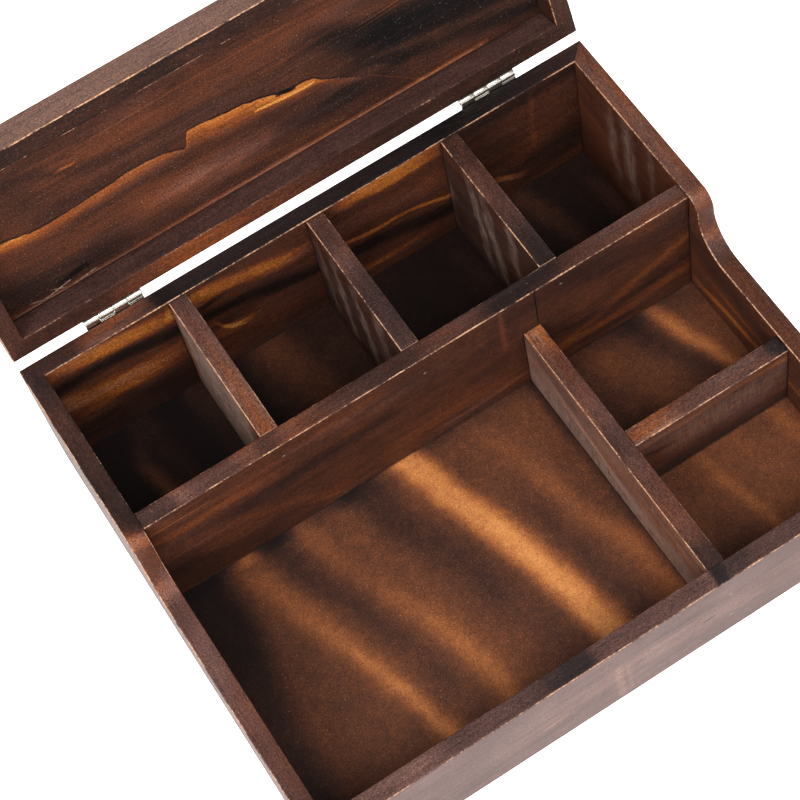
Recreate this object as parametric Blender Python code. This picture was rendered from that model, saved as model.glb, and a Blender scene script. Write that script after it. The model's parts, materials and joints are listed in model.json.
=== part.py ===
"""Lidded sorting box in torched softwood: a base with fixed dividers, and a lid on two butt hinges.

The origin is the middle of the front board's bottom edge. +X points right, +Y to the back, +Z up.
The lid is modelled standing open. It turns on the common axis of the two hinges, behind the back board.
"""

import math

import bmesh
import bpy
from mathutils import Matrix, Vector

# Base, outside sizes in metres
WIDTH = 0.305
DEPTH = 0.2565
BACK_HEIGHT = 0.0835
FRONT_HEIGHT = 0.0545
BOARD = 0.009
FRONT_Y = -BOARD / 2
BACK_Y = FRONT_Y + DEPTH
INNER_X = WIDTH / 2 - BOARD

# Clearances and edge rounding
GAP = 0.0003
EDGE = 0.0004

# Curve of each side: a convex arc that starts in a slight crease, then a concave arc
STEP_Y = 0.1425
CREST_RADIUS = 0.010
CREST_ANGLE = math.radians(20)
ARC_STEPS = 10

# Hardboard floor, let into grooves near the bottom edges
FLOOR_TOP = 0.0085
FLOOR_THICKNESS = 0.0031
GROOVE_DEPTH = 0.004

# Dividers
DIVIDER = 0.0092
DIVIDER_FOOT = FLOOR_TOP + GAP
MIDDLE_FRONT = 0.150
MIDDLE_BACK = MIDDLE_FRONT + BOARD
REAR_TOP = BACK_HEIGHT - 0.0008
REAR_PITCH = 0.0737
REAR_CENTRE = -0.0007
LONG_X = 0.0556
LONG_TOP = FRONT_HEIGHT - 0.0012
CROSS_TOP = FRONT_HEIGHT - 0.0018
CROSS_Y = (MIDDLE_FRONT + FRONT_Y + BOARD) / 2

# Lid
LID_DEPTH = BACK_Y - MIDDLE_FRONT
LID_HEIGHT = 0.018
LID_SEAT = 0.0004
LID_PANEL = 0.003
REBATE = 0.0045
OPEN_ANGLE = math.radians(108)

# Hinges: the pin lies behind and above the back board's top edge
PIN_BACK = 0.0026
PIN_UP = 0.0022
PIN_RADIUS = 0.00135
PIN_CLEARANCE = 0.00005
PIN_DOME = 0.0004
BARREL_RADIUS = 0.0024
HINGE_LENGTH = 0.030
HINGE_X = 0.1015
KNUCKLES = 4
LEAF_WIDTH = 0.012
LEAF_THICKNESS = 0.0009
LEAF_STANDOFF = 0.0002
SCREW_FROM_PIN = 0.0072
SCREW_SPREAD = 0.009

# Countersunk screws and brads
HEAD_RADIUS = 0.0019
HEAD_DEPTH = 0.0009
SHANK_RADIUS = 0.001
ROOT_RADIUS = 0.0007
SCREW_LENGTH = 0.0075
THREADS = 4
RECESS_ARM = 0.0012
RECESS_WIDTH = 0.0005
RECESS_DEPTH = 0.0005
SCREW_CLEARANCE = 0.0001
PILOT_RADIUS = 0.0013
BRAD_HEAD_RADIUS = 0.0008
BRAD_HEAD = 0.0006
BRAD_RADIUS = 0.0006
BRAD_LENGTH = 0.022
BRAD_POINT = 0.0018
BRAD_HOLE_RADIUS = 0.0009
DRILL_LEAD = 0.001

SEGMENTS = 12
FINE_SEGMENTS = 24


# Materials

def material(name, colour, roughness, metallic=0.0):
    """A Principled material, made once and shared by name."""
    made = bpy.data.materials.get(name)
    if made is None:
        made = bpy.data.materials.new(name)
        made.use_nodes = True
        shader = made.node_tree.nodes["Principled BSDF"]
        shader.inputs["Base Color"].default_value = (*colour, 1.0)
        shader.inputs["Roughness"].default_value = roughness
        shader.inputs["Metallic"].default_value = metallic
        made.diffuse_color = (*colour, 1.0)
    return made


def torched_wood():
    return material("torched_wood", (0.075, 0.035, 0.022), 0.5)


def hardboard():
    return material("hardboard", (0.19, 0.075, 0.028), 0.6)


def nickel():
    return material("nickel", (0.62, 0.60, 0.56), 0.3, 1.0)


def brad_wire():
    return material("brad_wire", (0.45, 0.40, 0.34), 0.45, 1.0)


# Building blocks

def clear_scene():
    for old in list(bpy.data.objects):
        bpy.data.objects.remove(old)


def new_object(name, bm, finish, location=(0, 0, 0), turn=0.0, parent=None):
    """Turns a bmesh into a named object. turn is about Z."""
    bmesh.ops.recalc_face_normals(bm, faces=bm.faces)
    mesh = bpy.data.meshes.new(name)
    bm.to_mesh(mesh)
    bm.free()
    return place(name, mesh, finish, location, turn, parent)


def place(name, mesh, finish, location=(0, 0, 0), turn=0.0, parent=None):
    made = bpy.data.objects.new(name, mesh)
    bpy.context.scene.collection.objects.link(made)
    made.location = location
    made.rotation_euler = (0, 0, turn)
    made.parent = parent
    if finish is not None and not mesh.materials:
        mesh.materials.append(finish)
    return made


def smooth(made):
    made.data.shade_smooth()
    made.data.set_sharp_from_angle(angle=math.radians(35))


def add_box(bm, low, high):
    """Adds a box between two corners."""
    size = Vector(high) - Vector(low)
    middle = (Vector(high) + Vector(low)) / 2
    bmesh.ops.create_cube(bm, size=1.0, matrix=Matrix.Translation(middle) @ Matrix.Diagonal((*size, 1.0)))


def add_cylinder(bm, start, direction, radius, length, segments=SEGMENTS):
    """Adds a solid cylinder that runs from start along direction."""
    along = Vector(direction).normalized()
    turn = along.to_track_quat("Z", "Y").to_matrix().to_4x4()
    middle = Vector(start) + along * length / 2
    bmesh.ops.create_cone(
        bm,
        cap_ends=True,
        segments=segments,
        radius1=radius,
        radius2=radius,
        depth=length,
        matrix=Matrix.Translation(middle) @ turn,
    )


def add_prism(bm, outline, along, start, end):
    """Extrudes a closed outline. along is 0 for an outline of (y, z) points and 2 for one of (x, y) points."""
    def point(a, b, c):
        return (c, a, b) if along == 0 else (a, b, c)

    face = bm.faces.new([bm.verts.new(point(a, b, start)) for a, b in outline])
    grown = bmesh.ops.extrude_face_region(bm, geom=[face])
    moved = [item for item in grown["geom"] if isinstance(item, bmesh.types.BMVert)]
    shift = Vector(point(0.0, 0.0, end - start))
    bmesh.ops.translate(bm, verts=moved, vec=shift)


def cut_off(bm, point, outward):
    """Removes what lies beyond a plane, and closes the cut."""
    geometry = bm.verts[:] + bm.edges[:] + bm.faces[:]
    cut = bmesh.ops.bisect_plane(bm, geom=geometry, plane_co=point, plane_no=outward, clear_outer=True)
    edges = [item for item in cut["geom_cut"] if isinstance(item, bmesh.types.BMEdge)]
    bmesh.ops.contextual_create(bm, geom=edges)


def turned(profile, segments=SEGMENTS):
    """Spins (radius, height) points about Z into a closed solid. The first and last points lie on the axis."""
    bm = bmesh.new()
    points = [bm.verts.new((radius, 0.0, height)) for radius, height in profile]
    edges = [bm.edges.new(pair) for pair in zip(points, points[1:])]
    bmesh.ops.spin(
        bm,
        geom=points + edges,
        cent=(0, 0, 0),
        axis=(0, 0, 1),
        angle=2 * math.pi,
        steps=segments,
        use_merge=True,
    )
    bmesh.ops.remove_doubles(bm, verts=bm.verts, dist=1e-6)
    return bm


def subtract(made, cutter):
    cut = made.modifiers.new(cutter.name, "BOOLEAN")
    cut.operation = "DIFFERENCE"
    cut.solver = "EXACT"
    cut.object = cutter


def hide_cutter(made):
    made.hide_render = True
    made.display_type = "WIRE"
    return made


def ease_edges(made):
    """Takes the sharpness off a board's edges."""
    bevel = made.modifiers.new("eased_edges", "BEVEL")
    bevel.width = EDGE
    bevel.segments = 1
    bevel.limit_method = "ANGLE"
    bevel.angle_limit = math.radians(40)


def box_cutter(name, low, high, parent=None):
    bm = bmesh.new()
    add_box(bm, low, high)
    return hide_cutter(new_object(name, bm, None, parent=parent))


# Boards

def plain_board(name, low, high, finish, parent=None):
    """A square-ended board between two corners, with its origin at its middle."""
    middle = (Vector(low) + Vector(high)) / 2
    bm = bmesh.new()
    add_box(bm, Vector(low) - middle, Vector(high) - middle)
    made = new_object(name, bm, finish, middle, parent=parent)
    ease_edges(made)
    return made


def mitred_board(name, length, height, location, turn, parent=None):
    """A board with 45 degree mitres at both ends. Its outer face looks along -Y before it is turned."""
    outer = length / 2 - GAP / math.sqrt(2)
    inner = outer - BOARD
    half = BOARD / 2
    bm = bmesh.new()
    outline = [(-outer, -half), (outer, -half), (inner, half), (-inner, half)]
    add_prism(bm, outline, 2, -height / 2, height / 2)
    made = new_object(name, bm, torched_wood(), location, turn, parent)
    ease_edges(made)
    return made


def arc(centre, radius, first, last):
    """Points on an arc in the YZ plane. Angles run from +Y towards +Z."""
    points = []
    for step in range(ARC_STEPS + 1):
        angle = first + (last - first) * step / ARC_STEPS
        points.append((centre[0] + radius * math.cos(angle), centre[1] + radius * math.sin(angle)))
    return points


def side_outline():
    """The side's outline, from the front bottom corner round to the back bottom corner."""
    crest_z = BACK_HEIGHT - CREST_RADIUS * math.cos(CREST_ANGLE)
    sweep_radius = crest_z - FRONT_HEIGHT
    sweep = arc((STEP_Y - sweep_radius, crest_z), sweep_radius, -math.pi / 2, 0.0)
    crest = arc((STEP_Y + CREST_RADIUS, crest_z), CREST_RADIUS, math.pi, math.pi / 2 + CREST_ANGLE)
    outline = [(FRONT_Y, 0.0), (FRONT_Y, FRONT_HEIGHT)]
    outline += sweep + crest[1:]
    outline += [(BACK_Y, BACK_HEIGHT), (BACK_Y, 0.0)]
    return outline


def side_board(name, hand):
    """A side with its curve, mitred at the front and the back. hand is -1 on the left and 1 on the right."""
    half = BOARD / 2
    bm = bmesh.new()
    add_prism(bm, side_outline(), 0, -half, half)
    setback = Vector((0, GAP / math.sqrt(2), 0))
    outer = hand * half
    cut_off(bm, Vector((outer, FRONT_Y, 0)) + setback, (-hand, -1, 0))
    cut_off(bm, Vector((outer, BACK_Y, 0)) - setback, (-hand, 1, 0))
    made = new_object(name, bm, torched_wood(), (hand * (WIDTH / 2 - half), 0, 0))
    ease_edges(made)
    return made


def build_base():
    """The four outer boards, the floor in its groove, and the dividers. Returns the boards by name."""
    boards = {
        "left_side": side_board("left_side", -1),
        "right_side": side_board("right_side", 1),
        "front_board": mitred_board(
            "front_board", WIDTH, FRONT_HEIGHT, (0, FRONT_Y + BOARD / 2, FRONT_HEIGHT / 2), 0.0
        ),
        "back_board": mitred_board(
            "back_board", WIDTH, BACK_HEIGHT, (0, BACK_Y - BOARD / 2, BACK_HEIGHT / 2), math.pi
        ),
    }
    reach = GROOVE_DEPTH
    groove = box_cutter(
        "floor_groove",
        (-INNER_X - reach, FRONT_Y + BOARD - reach, FLOOR_TOP - FLOOR_THICKNESS - GAP),
        (INNER_X + reach, BACK_Y - BOARD + reach, FLOOR_TOP + GAP),
    )
    for board in boards.values():
        subtract(board, groove)
    reach = GROOVE_DEPTH - GAP
    plain_board(
        "floor_panel",
        (-INNER_X - reach, FRONT_Y + BOARD - reach, FLOOR_TOP - FLOOR_THICKNESS),
        (INNER_X + reach, BACK_Y - BOARD + reach, FLOOR_TOP),
        hardboard(),
    )
    boards.update(build_dividers())
    return boards


def rear_divider_places():
    return {
        "left": REAR_CENTRE - REAR_PITCH,
        "centre": REAR_CENTRE,
        "right": REAR_CENTRE + REAR_PITCH,
    }


def build_dividers():
    """The middle board and the five dividers, which all stand on the floor."""
    wood = torched_wood()
    half = DIVIDER / 2
    boards = {}
    boards["middle_board"] = plain_board(
        "middle_board",
        (-INNER_X + GAP, MIDDLE_FRONT, DIVIDER_FOOT),
        (INNER_X - GAP, MIDDLE_BACK, REAR_TOP),
        wood,
    )
    for where, x in rear_divider_places().items():
        name = "rear_divider_" + where
        boards[name] = plain_board(
            name,
            (x - half, MIDDLE_BACK + GAP, DIVIDER_FOOT),
            (x + half, BACK_Y - BOARD - GAP, REAR_TOP),
            wood,
        )
    boards["tray_divider_long"] = plain_board(
        "tray_divider_long",
        (LONG_X - half, FRONT_Y + BOARD + GAP, DIVIDER_FOOT),
        (LONG_X + half, MIDDLE_FRONT - GAP, LONG_TOP),
        wood,
    )
    boards["tray_divider_cross"] = plain_board(
        "tray_divider_cross",
        (LONG_X + half + GAP, CROSS_Y - half, DIVIDER_FOOT),
        (INNER_X - GAP, CROSS_Y + half, CROSS_TOP),
        wood,
    )
    return boards


# Lid, in its own frame: the origin is the pin's axis, and the lid lies shut along -Y

def lid_frame():
    """The empty that carries the lid. It sits on the pin's axis and is turned to the open angle."""
    pivot = bpy.data.objects.new("lid_pivot", None)
    bpy.context.scene.collection.objects.link(pivot)
    pivot.location = (0, BACK_Y + PIN_BACK, BACK_HEIGHT + PIN_UP)
    pivot.rotation_euler = (-OPEN_ANGLE, 0, 0)
    return pivot


def build_lid(pivot):
    """Four mitred rails and the panel let into their top. Returns the rear rail, which takes the hinges."""
    rear_y = -PIN_BACK
    front_y = rear_y - LID_DEPTH
    rim_z = LID_SEAT - PIN_UP
    top_z = rim_z + LID_HEIGHT
    middle_y = (rear_y + front_y) / 2
    middle_z = (rim_z + top_z) / 2
    half = BOARD / 2
    side_x = WIDTH / 2 - half
    quarter = math.pi / 2
    rails = [
        mitred_board("lid_front_rail", WIDTH, LID_HEIGHT, (0, front_y + half, middle_z), 0.0, pivot),
        mitred_board("lid_rear_rail", WIDTH, LID_HEIGHT, (0, rear_y - half, middle_z), math.pi, pivot),
        mitred_board("lid_left_rail", LID_DEPTH, LID_HEIGHT, (-side_x, middle_y, middle_z), -quarter, pivot),
        mitred_board("lid_right_rail", LID_DEPTH, LID_HEIGHT, (side_x, middle_y, middle_z), quarter, pivot),
    ]
    edge = BOARD - REBATE
    low = Vector((-WIDTH / 2 + edge, front_y + edge, top_z - LID_PANEL))
    high = Vector((WIDTH / 2 - edge, rear_y - edge, top_z))
    rebate = box_cutter("panel_rebate", low - Vector((0, 0, GAP)), high + Vector((0, 0, DRILL_LEAD)), pivot)
    for rail in rails:
        subtract(rail, rebate)
    inset = Vector((GAP, GAP, 0))
    plain_board("lid_panel", low + inset, high - inset, torched_wood(), pivot)
    return rails[1]


# Hinges, each in a frame on its pin's middle, with the lid shut

def knuckle_span(index):
    """The start and end of one knuckle along X, from the hinge's middle."""
    pitch = HINGE_LENGTH / KNUCKLES
    start = -HINGE_LENGTH / 2 + index * pitch
    return start + GAP / 2, start + pitch - GAP / 2


def leaf_mesh(name, side, first):
    """A leaf with every second knuckle. side is -1 for the base's leaf, which hangs down, and 1 for the lid's."""
    near = -PIN_BACK + LEAF_STANDOFF
    far = near + LEAF_THICKNESS
    notch = math.sqrt((BARREL_RADIUS + GAP) ** 2 - far ** 2) + GAP / 2
    ends = sorted((side * notch, side * LEAF_WIDTH))
    half = HINGE_LENGTH / 2
    bm = bmesh.new()
    add_box(bm, (-half, near, ends[0]), (half, far, ends[1]))
    leaf = new_object(name, bm, nickel())
    overlap = LEAF_THICKNESS
    for index in range(first, KNUCKLES, 2):
        start, end = knuckle_span(index)
        neck = sorted((0.0, side * (notch + overlap)))
        part = bmesh.new()
        add_box(part, (start, near, neck[0]), (end, far, neck[1]))
        unite(leaf, part, f"{name}_neck_{index}")
        part = bmesh.new()
        add_cylinder(part, (start, 0, 0), (1, 0, 0), BARREL_RADIUS, end - start, FINE_SEGMENTS)
        unite(leaf, part, f"{name}_barrel_{index}")
    bores = bmesh.new()
    add_cylinder(
        bores,
        (-half - DRILL_LEAD, 0, 0),
        (1, 0, 0),
        PIN_RADIUS + PIN_CLEARANCE,
        HINGE_LENGTH + 2 * DRILL_LEAD,
        FINE_SEGMENTS,
    )
    subtract(leaf, hide_cutter(new_object(name + "_bore", bores, None)))
    for x in (-SCREW_SPREAD, SCREW_SPREAD):
        hole = turned(countersink(SCREW_CLEARANCE), FINE_SEGMENTS)
        bmesh.ops.transform(hole, matrix=screw_matrix(x, side), verts=hole.verts)
        subtract(leaf, hide_cutter(new_object(f"{name}_hole", hole, None)))
    return evaluated(leaf)


def unite(made, part, name):
    tool = hide_cutter(new_object(name, part, None))
    join = made.modifiers.new(name, "BOOLEAN")
    join.operation = "UNION"
    join.solver = "EXACT"
    join.object = tool


def evaluated(made):
    """The object's mesh with its modifiers applied. The object itself is removed."""
    graph = bpy.context.evaluated_depsgraph_get()
    mesh = bpy.data.meshes.new_from_object(made.evaluated_get(graph))
    mesh.name = made.name
    bpy.data.objects.remove(made)
    return mesh


def countersink(clearance):
    """The space a screw needs in a leaf: below Z = 0 the leaf, above it the open air."""
    top = HEAD_RADIUS + clearance
    bottom = SHANK_RADIUS + clearance
    return [
        (0.0, -HEAD_DEPTH - DRILL_LEAD),
        (bottom, -HEAD_DEPTH - DRILL_LEAD),
        (bottom, -HEAD_DEPTH),
        (top, 0.0),
        (top, DRILL_LEAD),
        (0.0, DRILL_LEAD),
    ]


def screw_matrix(x, side):
    """Puts a screw, modelled with its head up at Z = 0, into a leaf's outer face."""
    face_y = -PIN_BACK + LEAF_STANDOFF + LEAF_THICKNESS
    return Matrix.Translation((x, face_y, side * SCREW_FROM_PIN)) @ Matrix.Rotation(-math.pi / 2, 4, "X")


def screw_mesh():
    """A countersunk screw along Z, with its head's top at Z = 0, ridges for the thread, and a cross recess."""
    profile = [(0.0, -SCREW_LENGTH)]
    pitch = (SCREW_LENGTH - HEAD_DEPTH) / (THREADS + 1)
    for index in range(THREADS):
        height = -SCREW_LENGTH + pitch * (index + 0.5)
        crest = SHANK_RADIUS if index else (SHANK_RADIUS + ROOT_RADIUS) / 2
        profile += [(ROOT_RADIUS, height), (crest, height + pitch / 2)]
    profile += [(ROOT_RADIUS, -HEAD_DEPTH - pitch / 2), (ROOT_RADIUS, -HEAD_DEPTH)]
    profile += [(HEAD_RADIUS, 0.0), (0.0, 0.0)]
    screw = new_object("hinge_screw", turned(profile), nickel())
    arms = bmesh.new()
    half = RECESS_WIDTH / 2
    outline = []
    for quarter in range(4):
        turn = Matrix.Rotation(quarter * math.pi / 2, 2)
        for corner in ((half, half), (RECESS_ARM, half), (RECESS_ARM, -half)):
            outline.append(tuple(turn @ Vector(corner)))
    outline.append(outline.pop(0))
    add_prism(arms, order_around(outline), 2, -RECESS_DEPTH, DRILL_LEAD)
    subtract(screw, hide_cutter(new_object("cross_recess", arms, None)))
    return evaluated(screw)


def order_around(points):
    """Sorts the points of a star-shaped outline by their angle."""
    return sorted(points, key=lambda point: math.atan2(point[1], point[0]))


def pin_mesh():
    """The hinge pin along X, domed at both ends."""
    half = HINGE_LENGTH / 2
    shoulder = PIN_RADIUS * math.cos(math.pi / 4)
    rise = PIN_DOME * math.sin(math.pi / 4)
    profile = [
        (0.0, -half - PIN_DOME),
        (shoulder, -half - rise),
        (PIN_RADIUS, -half),
        (PIN_RADIUS, half),
        (shoulder, half + rise),
        (0.0, half + PIN_DOME),
    ]
    bm = turned(profile, FINE_SEGMENTS)
    bmesh.ops.rotate(bm, verts=bm.verts, cent=(0, 0, 0), matrix=Matrix.Rotation(math.pi / 2, 3, "Y"))
    bmesh.ops.recalc_face_normals(bm, faces=bm.faces)
    mesh = bpy.data.meshes.new("hinge_pin")
    bm.to_mesh(mesh)
    bm.free()
    return mesh


def build_hinges(pivot):
    """Both hinges with their screws. Returns the pilot holes for the back board and for the lid's rear rail."""
    base_leaf = leaf_mesh("base_leaf", -1, 0)
    lid_leaf = leaf_mesh("lid_leaf", 1, 1)
    pin = pin_mesh()
    screw = screw_mesh()
    axis = Vector((0, BACK_Y + PIN_BACK, BACK_HEIGHT + PIN_UP))
    base_holes = []
    lid_holes = []
    for where, x in (("left", -HINGE_X), ("right", HINGE_X)):
        name = "hinge_" + where
        offset = Vector((x, 0, 0))
        smooth(place(name + "_base_leaf", base_leaf, nickel(), axis + offset))
        smooth(place(name + "_lid_leaf", lid_leaf, nickel(), offset, parent=pivot))
        smooth(place(name + "_pin", pin, nickel(), axis + offset))
        for number, spread in enumerate((-SCREW_SPREAD, SCREW_SPREAD), 1):
            base = Matrix.Translation(axis + offset) @ screw_matrix(spread, -1)
            made = place(f"{name}_base_screw_{number}", screw, nickel())
            made.matrix_world = base
            smooth(made)
            base_holes.append((base.translation, (0, -1, 0), PILOT_RADIUS, SCREW_LENGTH + GAP))
            lid = Matrix.Translation(offset) @ screw_matrix(spread, 1)
            made = place(f"{name}_lid_screw_{number}", screw, nickel(), parent=pivot)
            made.matrix_local = lid
            smooth(made)
            lid_holes.append((lid.translation, (0, -1, 0), PILOT_RADIUS, SCREW_LENGTH + GAP))
    return base_holes, lid_holes


# Brads and their holes

def brad_mesh():
    """A brad along Z, with its head's top at Z = 0 and its point below."""
    profile = [
        (0.0, -BRAD_LENGTH),
        (BRAD_RADIUS, -BRAD_LENGTH + BRAD_POINT),
        (BRAD_RADIUS, -BRAD_HEAD),
        (BRAD_HEAD_RADIUS, -BRAD_HEAD / 2),
        (BRAD_HEAD_RADIUS, 0.0),
        (0.0, 0.0),
    ]
    bm = turned(profile)
    bmesh.ops.recalc_face_normals(bm, faces=bm.faces)
    mesh = bpy.data.meshes.new("brad")
    bm.to_mesh(mesh)
    bm.free()
    return mesh


def brad_places():
    """Each brad's name, head, direction and the boards it joins. They are driven by hand, so heights differ."""
    places = []
    heights = {"left": 0.0727, "centre": 0.0703, "right": 0.0752}
    for where, x in rear_divider_places().items():
        divider = "rear_divider_" + where
        head = (x + 0.0005, MIDDLE_FRONT, heights[where])
        places.append(("brad_middle_" + where, head, (0, 1, 0), ("middle_board", divider)))
        for level, z in (("upper", 0.058), ("lower", 0.024)):
            name = f"brad_back_{where}_{level}"
            places.append((name, (x, BACK_Y, z), (0, -1, 0), ("back_board", divider)))
    long_divider = "tray_divider_long"
    cross_divider = "tray_divider_cross"
    for level, z in (("upper", 0.0378), ("lower", 0.0158)):
        head = (LONG_X + 0.0016, FRONT_Y, z)
        places.append(("brad_front_" + level, head, (0, 1, 0), ("front_board", long_divider)))
    head = (LONG_X, MIDDLE_BACK, 0.036)
    places.append(("brad_middle_rear", head, (0, -1, 0), ("middle_board", long_divider)))
    head = (LONG_X - DIVIDER / 2, CROSS_Y - 0.0012, 0.0436)
    places.append(("brad_long_divider", head, (1, 0, 0), (long_divider, cross_divider)))
    for level, z in (("upper", 0.040), ("lower", 0.018)):
        head = (WIDTH / 2, CROSS_Y, z)
        places.append(("brad_tray_" + level, head, (-1, 0, 0), ("right_side", cross_divider)))
    middle_y = (MIDDLE_FRONT + MIDDLE_BACK) / 2
    for where, hand in (("left", -1), ("right", 1)):
        for level, z in (("upper", 0.060), ("lower", 0.022)):
            name = f"brad_{where}_side_{level}"
            head = (hand * WIDTH / 2, middle_y, z)
            places.append((name, head, (-hand, 0, 0), (where + "_side", "middle_board")))
    return places


def drill(board, holes, parent=None):
    """Cuts round holes, given as start, direction, radius and depth, into a board."""
    bm = bmesh.new()
    for start, direction, radius, depth in holes:
        along = Vector(direction)
        add_cylinder(bm, Vector(start) - along * DRILL_LEAD, along, radius, depth + DRILL_LEAD)
    subtract(board, hide_cutter(new_object(board.name + "_holes", bm, None, parent=parent)))


def build_brads(boards, back_holes):
    """Drives the brads and drills every base board. back_holes are the screws' holes in the back board."""
    mesh = brad_mesh()
    holes = {name: [] for name in boards}
    holes["back_board"] += back_holes
    for name, head, direction, joined in brad_places():
        brad = place(name, mesh, brad_wire())
        turn = Vector(direction).to_track_quat("-Z", "Y").to_matrix().to_4x4()
        brad.matrix_world = Matrix.Translation(head) @ turn
        smooth(brad)
        for board in joined:
            holes[board].append((head, direction, BRAD_HOLE_RADIUS, BRAD_LENGTH + GAP))
    for name, found in holes.items():
        drill(boards[name], found)


def build():
    clear_scene()
    boards = build_base()
    pivot = lid_frame()
    rear_rail = build_lid(pivot)
    base_holes, lid_holes = build_hinges(pivot)
    build_brads(boards, base_holes)
    drill(rear_rail, lid_holes, pivot)


build()
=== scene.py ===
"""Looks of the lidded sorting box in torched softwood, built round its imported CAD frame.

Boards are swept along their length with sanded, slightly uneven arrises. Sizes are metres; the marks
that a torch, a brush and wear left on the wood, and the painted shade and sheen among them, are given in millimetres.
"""

import json
import math

import bmesh
import bpy
from mathutils import Matrix, Vector, noise


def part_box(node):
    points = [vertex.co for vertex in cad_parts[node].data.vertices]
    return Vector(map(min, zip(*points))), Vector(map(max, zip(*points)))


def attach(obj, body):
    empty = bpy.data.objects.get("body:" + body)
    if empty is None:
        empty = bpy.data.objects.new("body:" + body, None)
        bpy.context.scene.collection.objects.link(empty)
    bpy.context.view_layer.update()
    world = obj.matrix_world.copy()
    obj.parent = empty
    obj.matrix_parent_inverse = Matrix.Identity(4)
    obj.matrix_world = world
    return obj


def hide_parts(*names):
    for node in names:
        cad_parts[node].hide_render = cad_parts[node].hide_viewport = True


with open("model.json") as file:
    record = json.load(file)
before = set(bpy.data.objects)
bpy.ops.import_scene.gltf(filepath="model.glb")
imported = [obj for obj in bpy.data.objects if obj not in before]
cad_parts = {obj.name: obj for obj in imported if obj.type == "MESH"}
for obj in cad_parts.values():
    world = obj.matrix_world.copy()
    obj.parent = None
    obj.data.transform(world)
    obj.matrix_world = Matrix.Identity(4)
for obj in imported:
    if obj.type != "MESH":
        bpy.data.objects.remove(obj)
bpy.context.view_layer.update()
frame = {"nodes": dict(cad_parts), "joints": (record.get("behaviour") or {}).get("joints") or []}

MM = 0.001


def low(node):
    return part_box(node)[0]


def high(node):
    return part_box(node)[1]


# Sizes of the box, taken from the frame
OUTER_X = high("right_side").x
FRONT_Y = low("front_board").y
BACK_Y = high("back_board").y
BOARD = high("front_board").y - FRONT_Y
FRONT_HEIGHT = high("front_board").z
BACK_HEIGHT = high("back_board").z
FLOOR_TOP = high("floor_panel").z
FLOOR_BOTTOM = low("floor_panel").z
GROOVE_DEPTH = high("floor_panel").x - (OUTER_X - BOARD)
GROOVE_PLAY = 0.2 * MM
INNER_X = OUTER_X - BOARD

# Curve of each side: a concave sweep up from the front part, then a convex crest that ends in a crease
STEP_Y = 142.5 * MM
CREST_RADIUS = 10 * MM
CREST_ANGLE = math.radians(20)
CREST_Z = BACK_HEIGHT - CREST_RADIUS * math.cos(CREST_ANGLE)
SWEEP_RADIUS = CREST_Z - FRONT_HEIGHT

# Sweeping of boards
ARRIS = 0.42 * MM
END_EASE = 0.25 * MM
ARC_STEPS = 3
SHOULDER = 1.6 * MM
STATION_STEP = 1.6 * MM
FACE_STEP = 11 * MM
MITRE_REACH = 13 * MM
SEAM = 0.06 * MM
FOOT_GAP = 0.08 * MM
HOLE_PLAY = 0.4 * MM

# Lid: its own frame has the hinge pins' axis as origin and lies shut along -Y
PIN = (low("hinge_left_pin") + high("hinge_left_pin")) / 2
AXIS = Vector((0, PIN.y, PIN.z))
OPEN_ANGLE = math.radians(-frame["joints"][0]["range_deg"][0])
LID_PLACE = Matrix.Translation(AXIS) @ Matrix.Rotation(-OPEN_ANGLE, 4, "X")

# Hinges, in the lid's frame
PIN_RADIUS = (high("hinge_left_pin").z - low("hinge_left_pin").z) / 2
BARREL_RADIUS = high("hinge_left_base_leaf").y - AXIS.y
LEAF_WIDTH = AXIS.z - low("hinge_left_base_leaf").z
LEAF_THICKNESS = 0.9 * MM
HINGE_LENGTH = high("hinge_left_base_leaf").x - low("hinge_left_base_leaf").x
KNUCKLES = 4
KNUCKLE_GAP = 0.25 * MM
SCREW_HEAD = 1.9 * MM
SCREW_SINK = 0.9 * MM


def local_box(node, matrix):
    """The lowest and highest corners of a CAD node in the frame of a matrix."""
    inverse = matrix.inverted()
    points = [inverse @ vertex.co for vertex in frame["nodes"][node].data.vertices]
    corners = [[pick(point[axis] for point in points) for axis in range(3)] for pick in (min, max)]
    return Vector(corners[0]), Vector(corners[1])


# Shader graphs

def srgb(code):
    """Linear colour of a hex code."""
    values = [int(code[start:start + 2], 16) / 255 for start in (1, 3, 5)]
    linear = [v / 12.92 if v <= 0.04045 else ((v + 0.055) / 1.055) ** 2.4 for v in values]
    return (*linear, 1.0)


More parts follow.
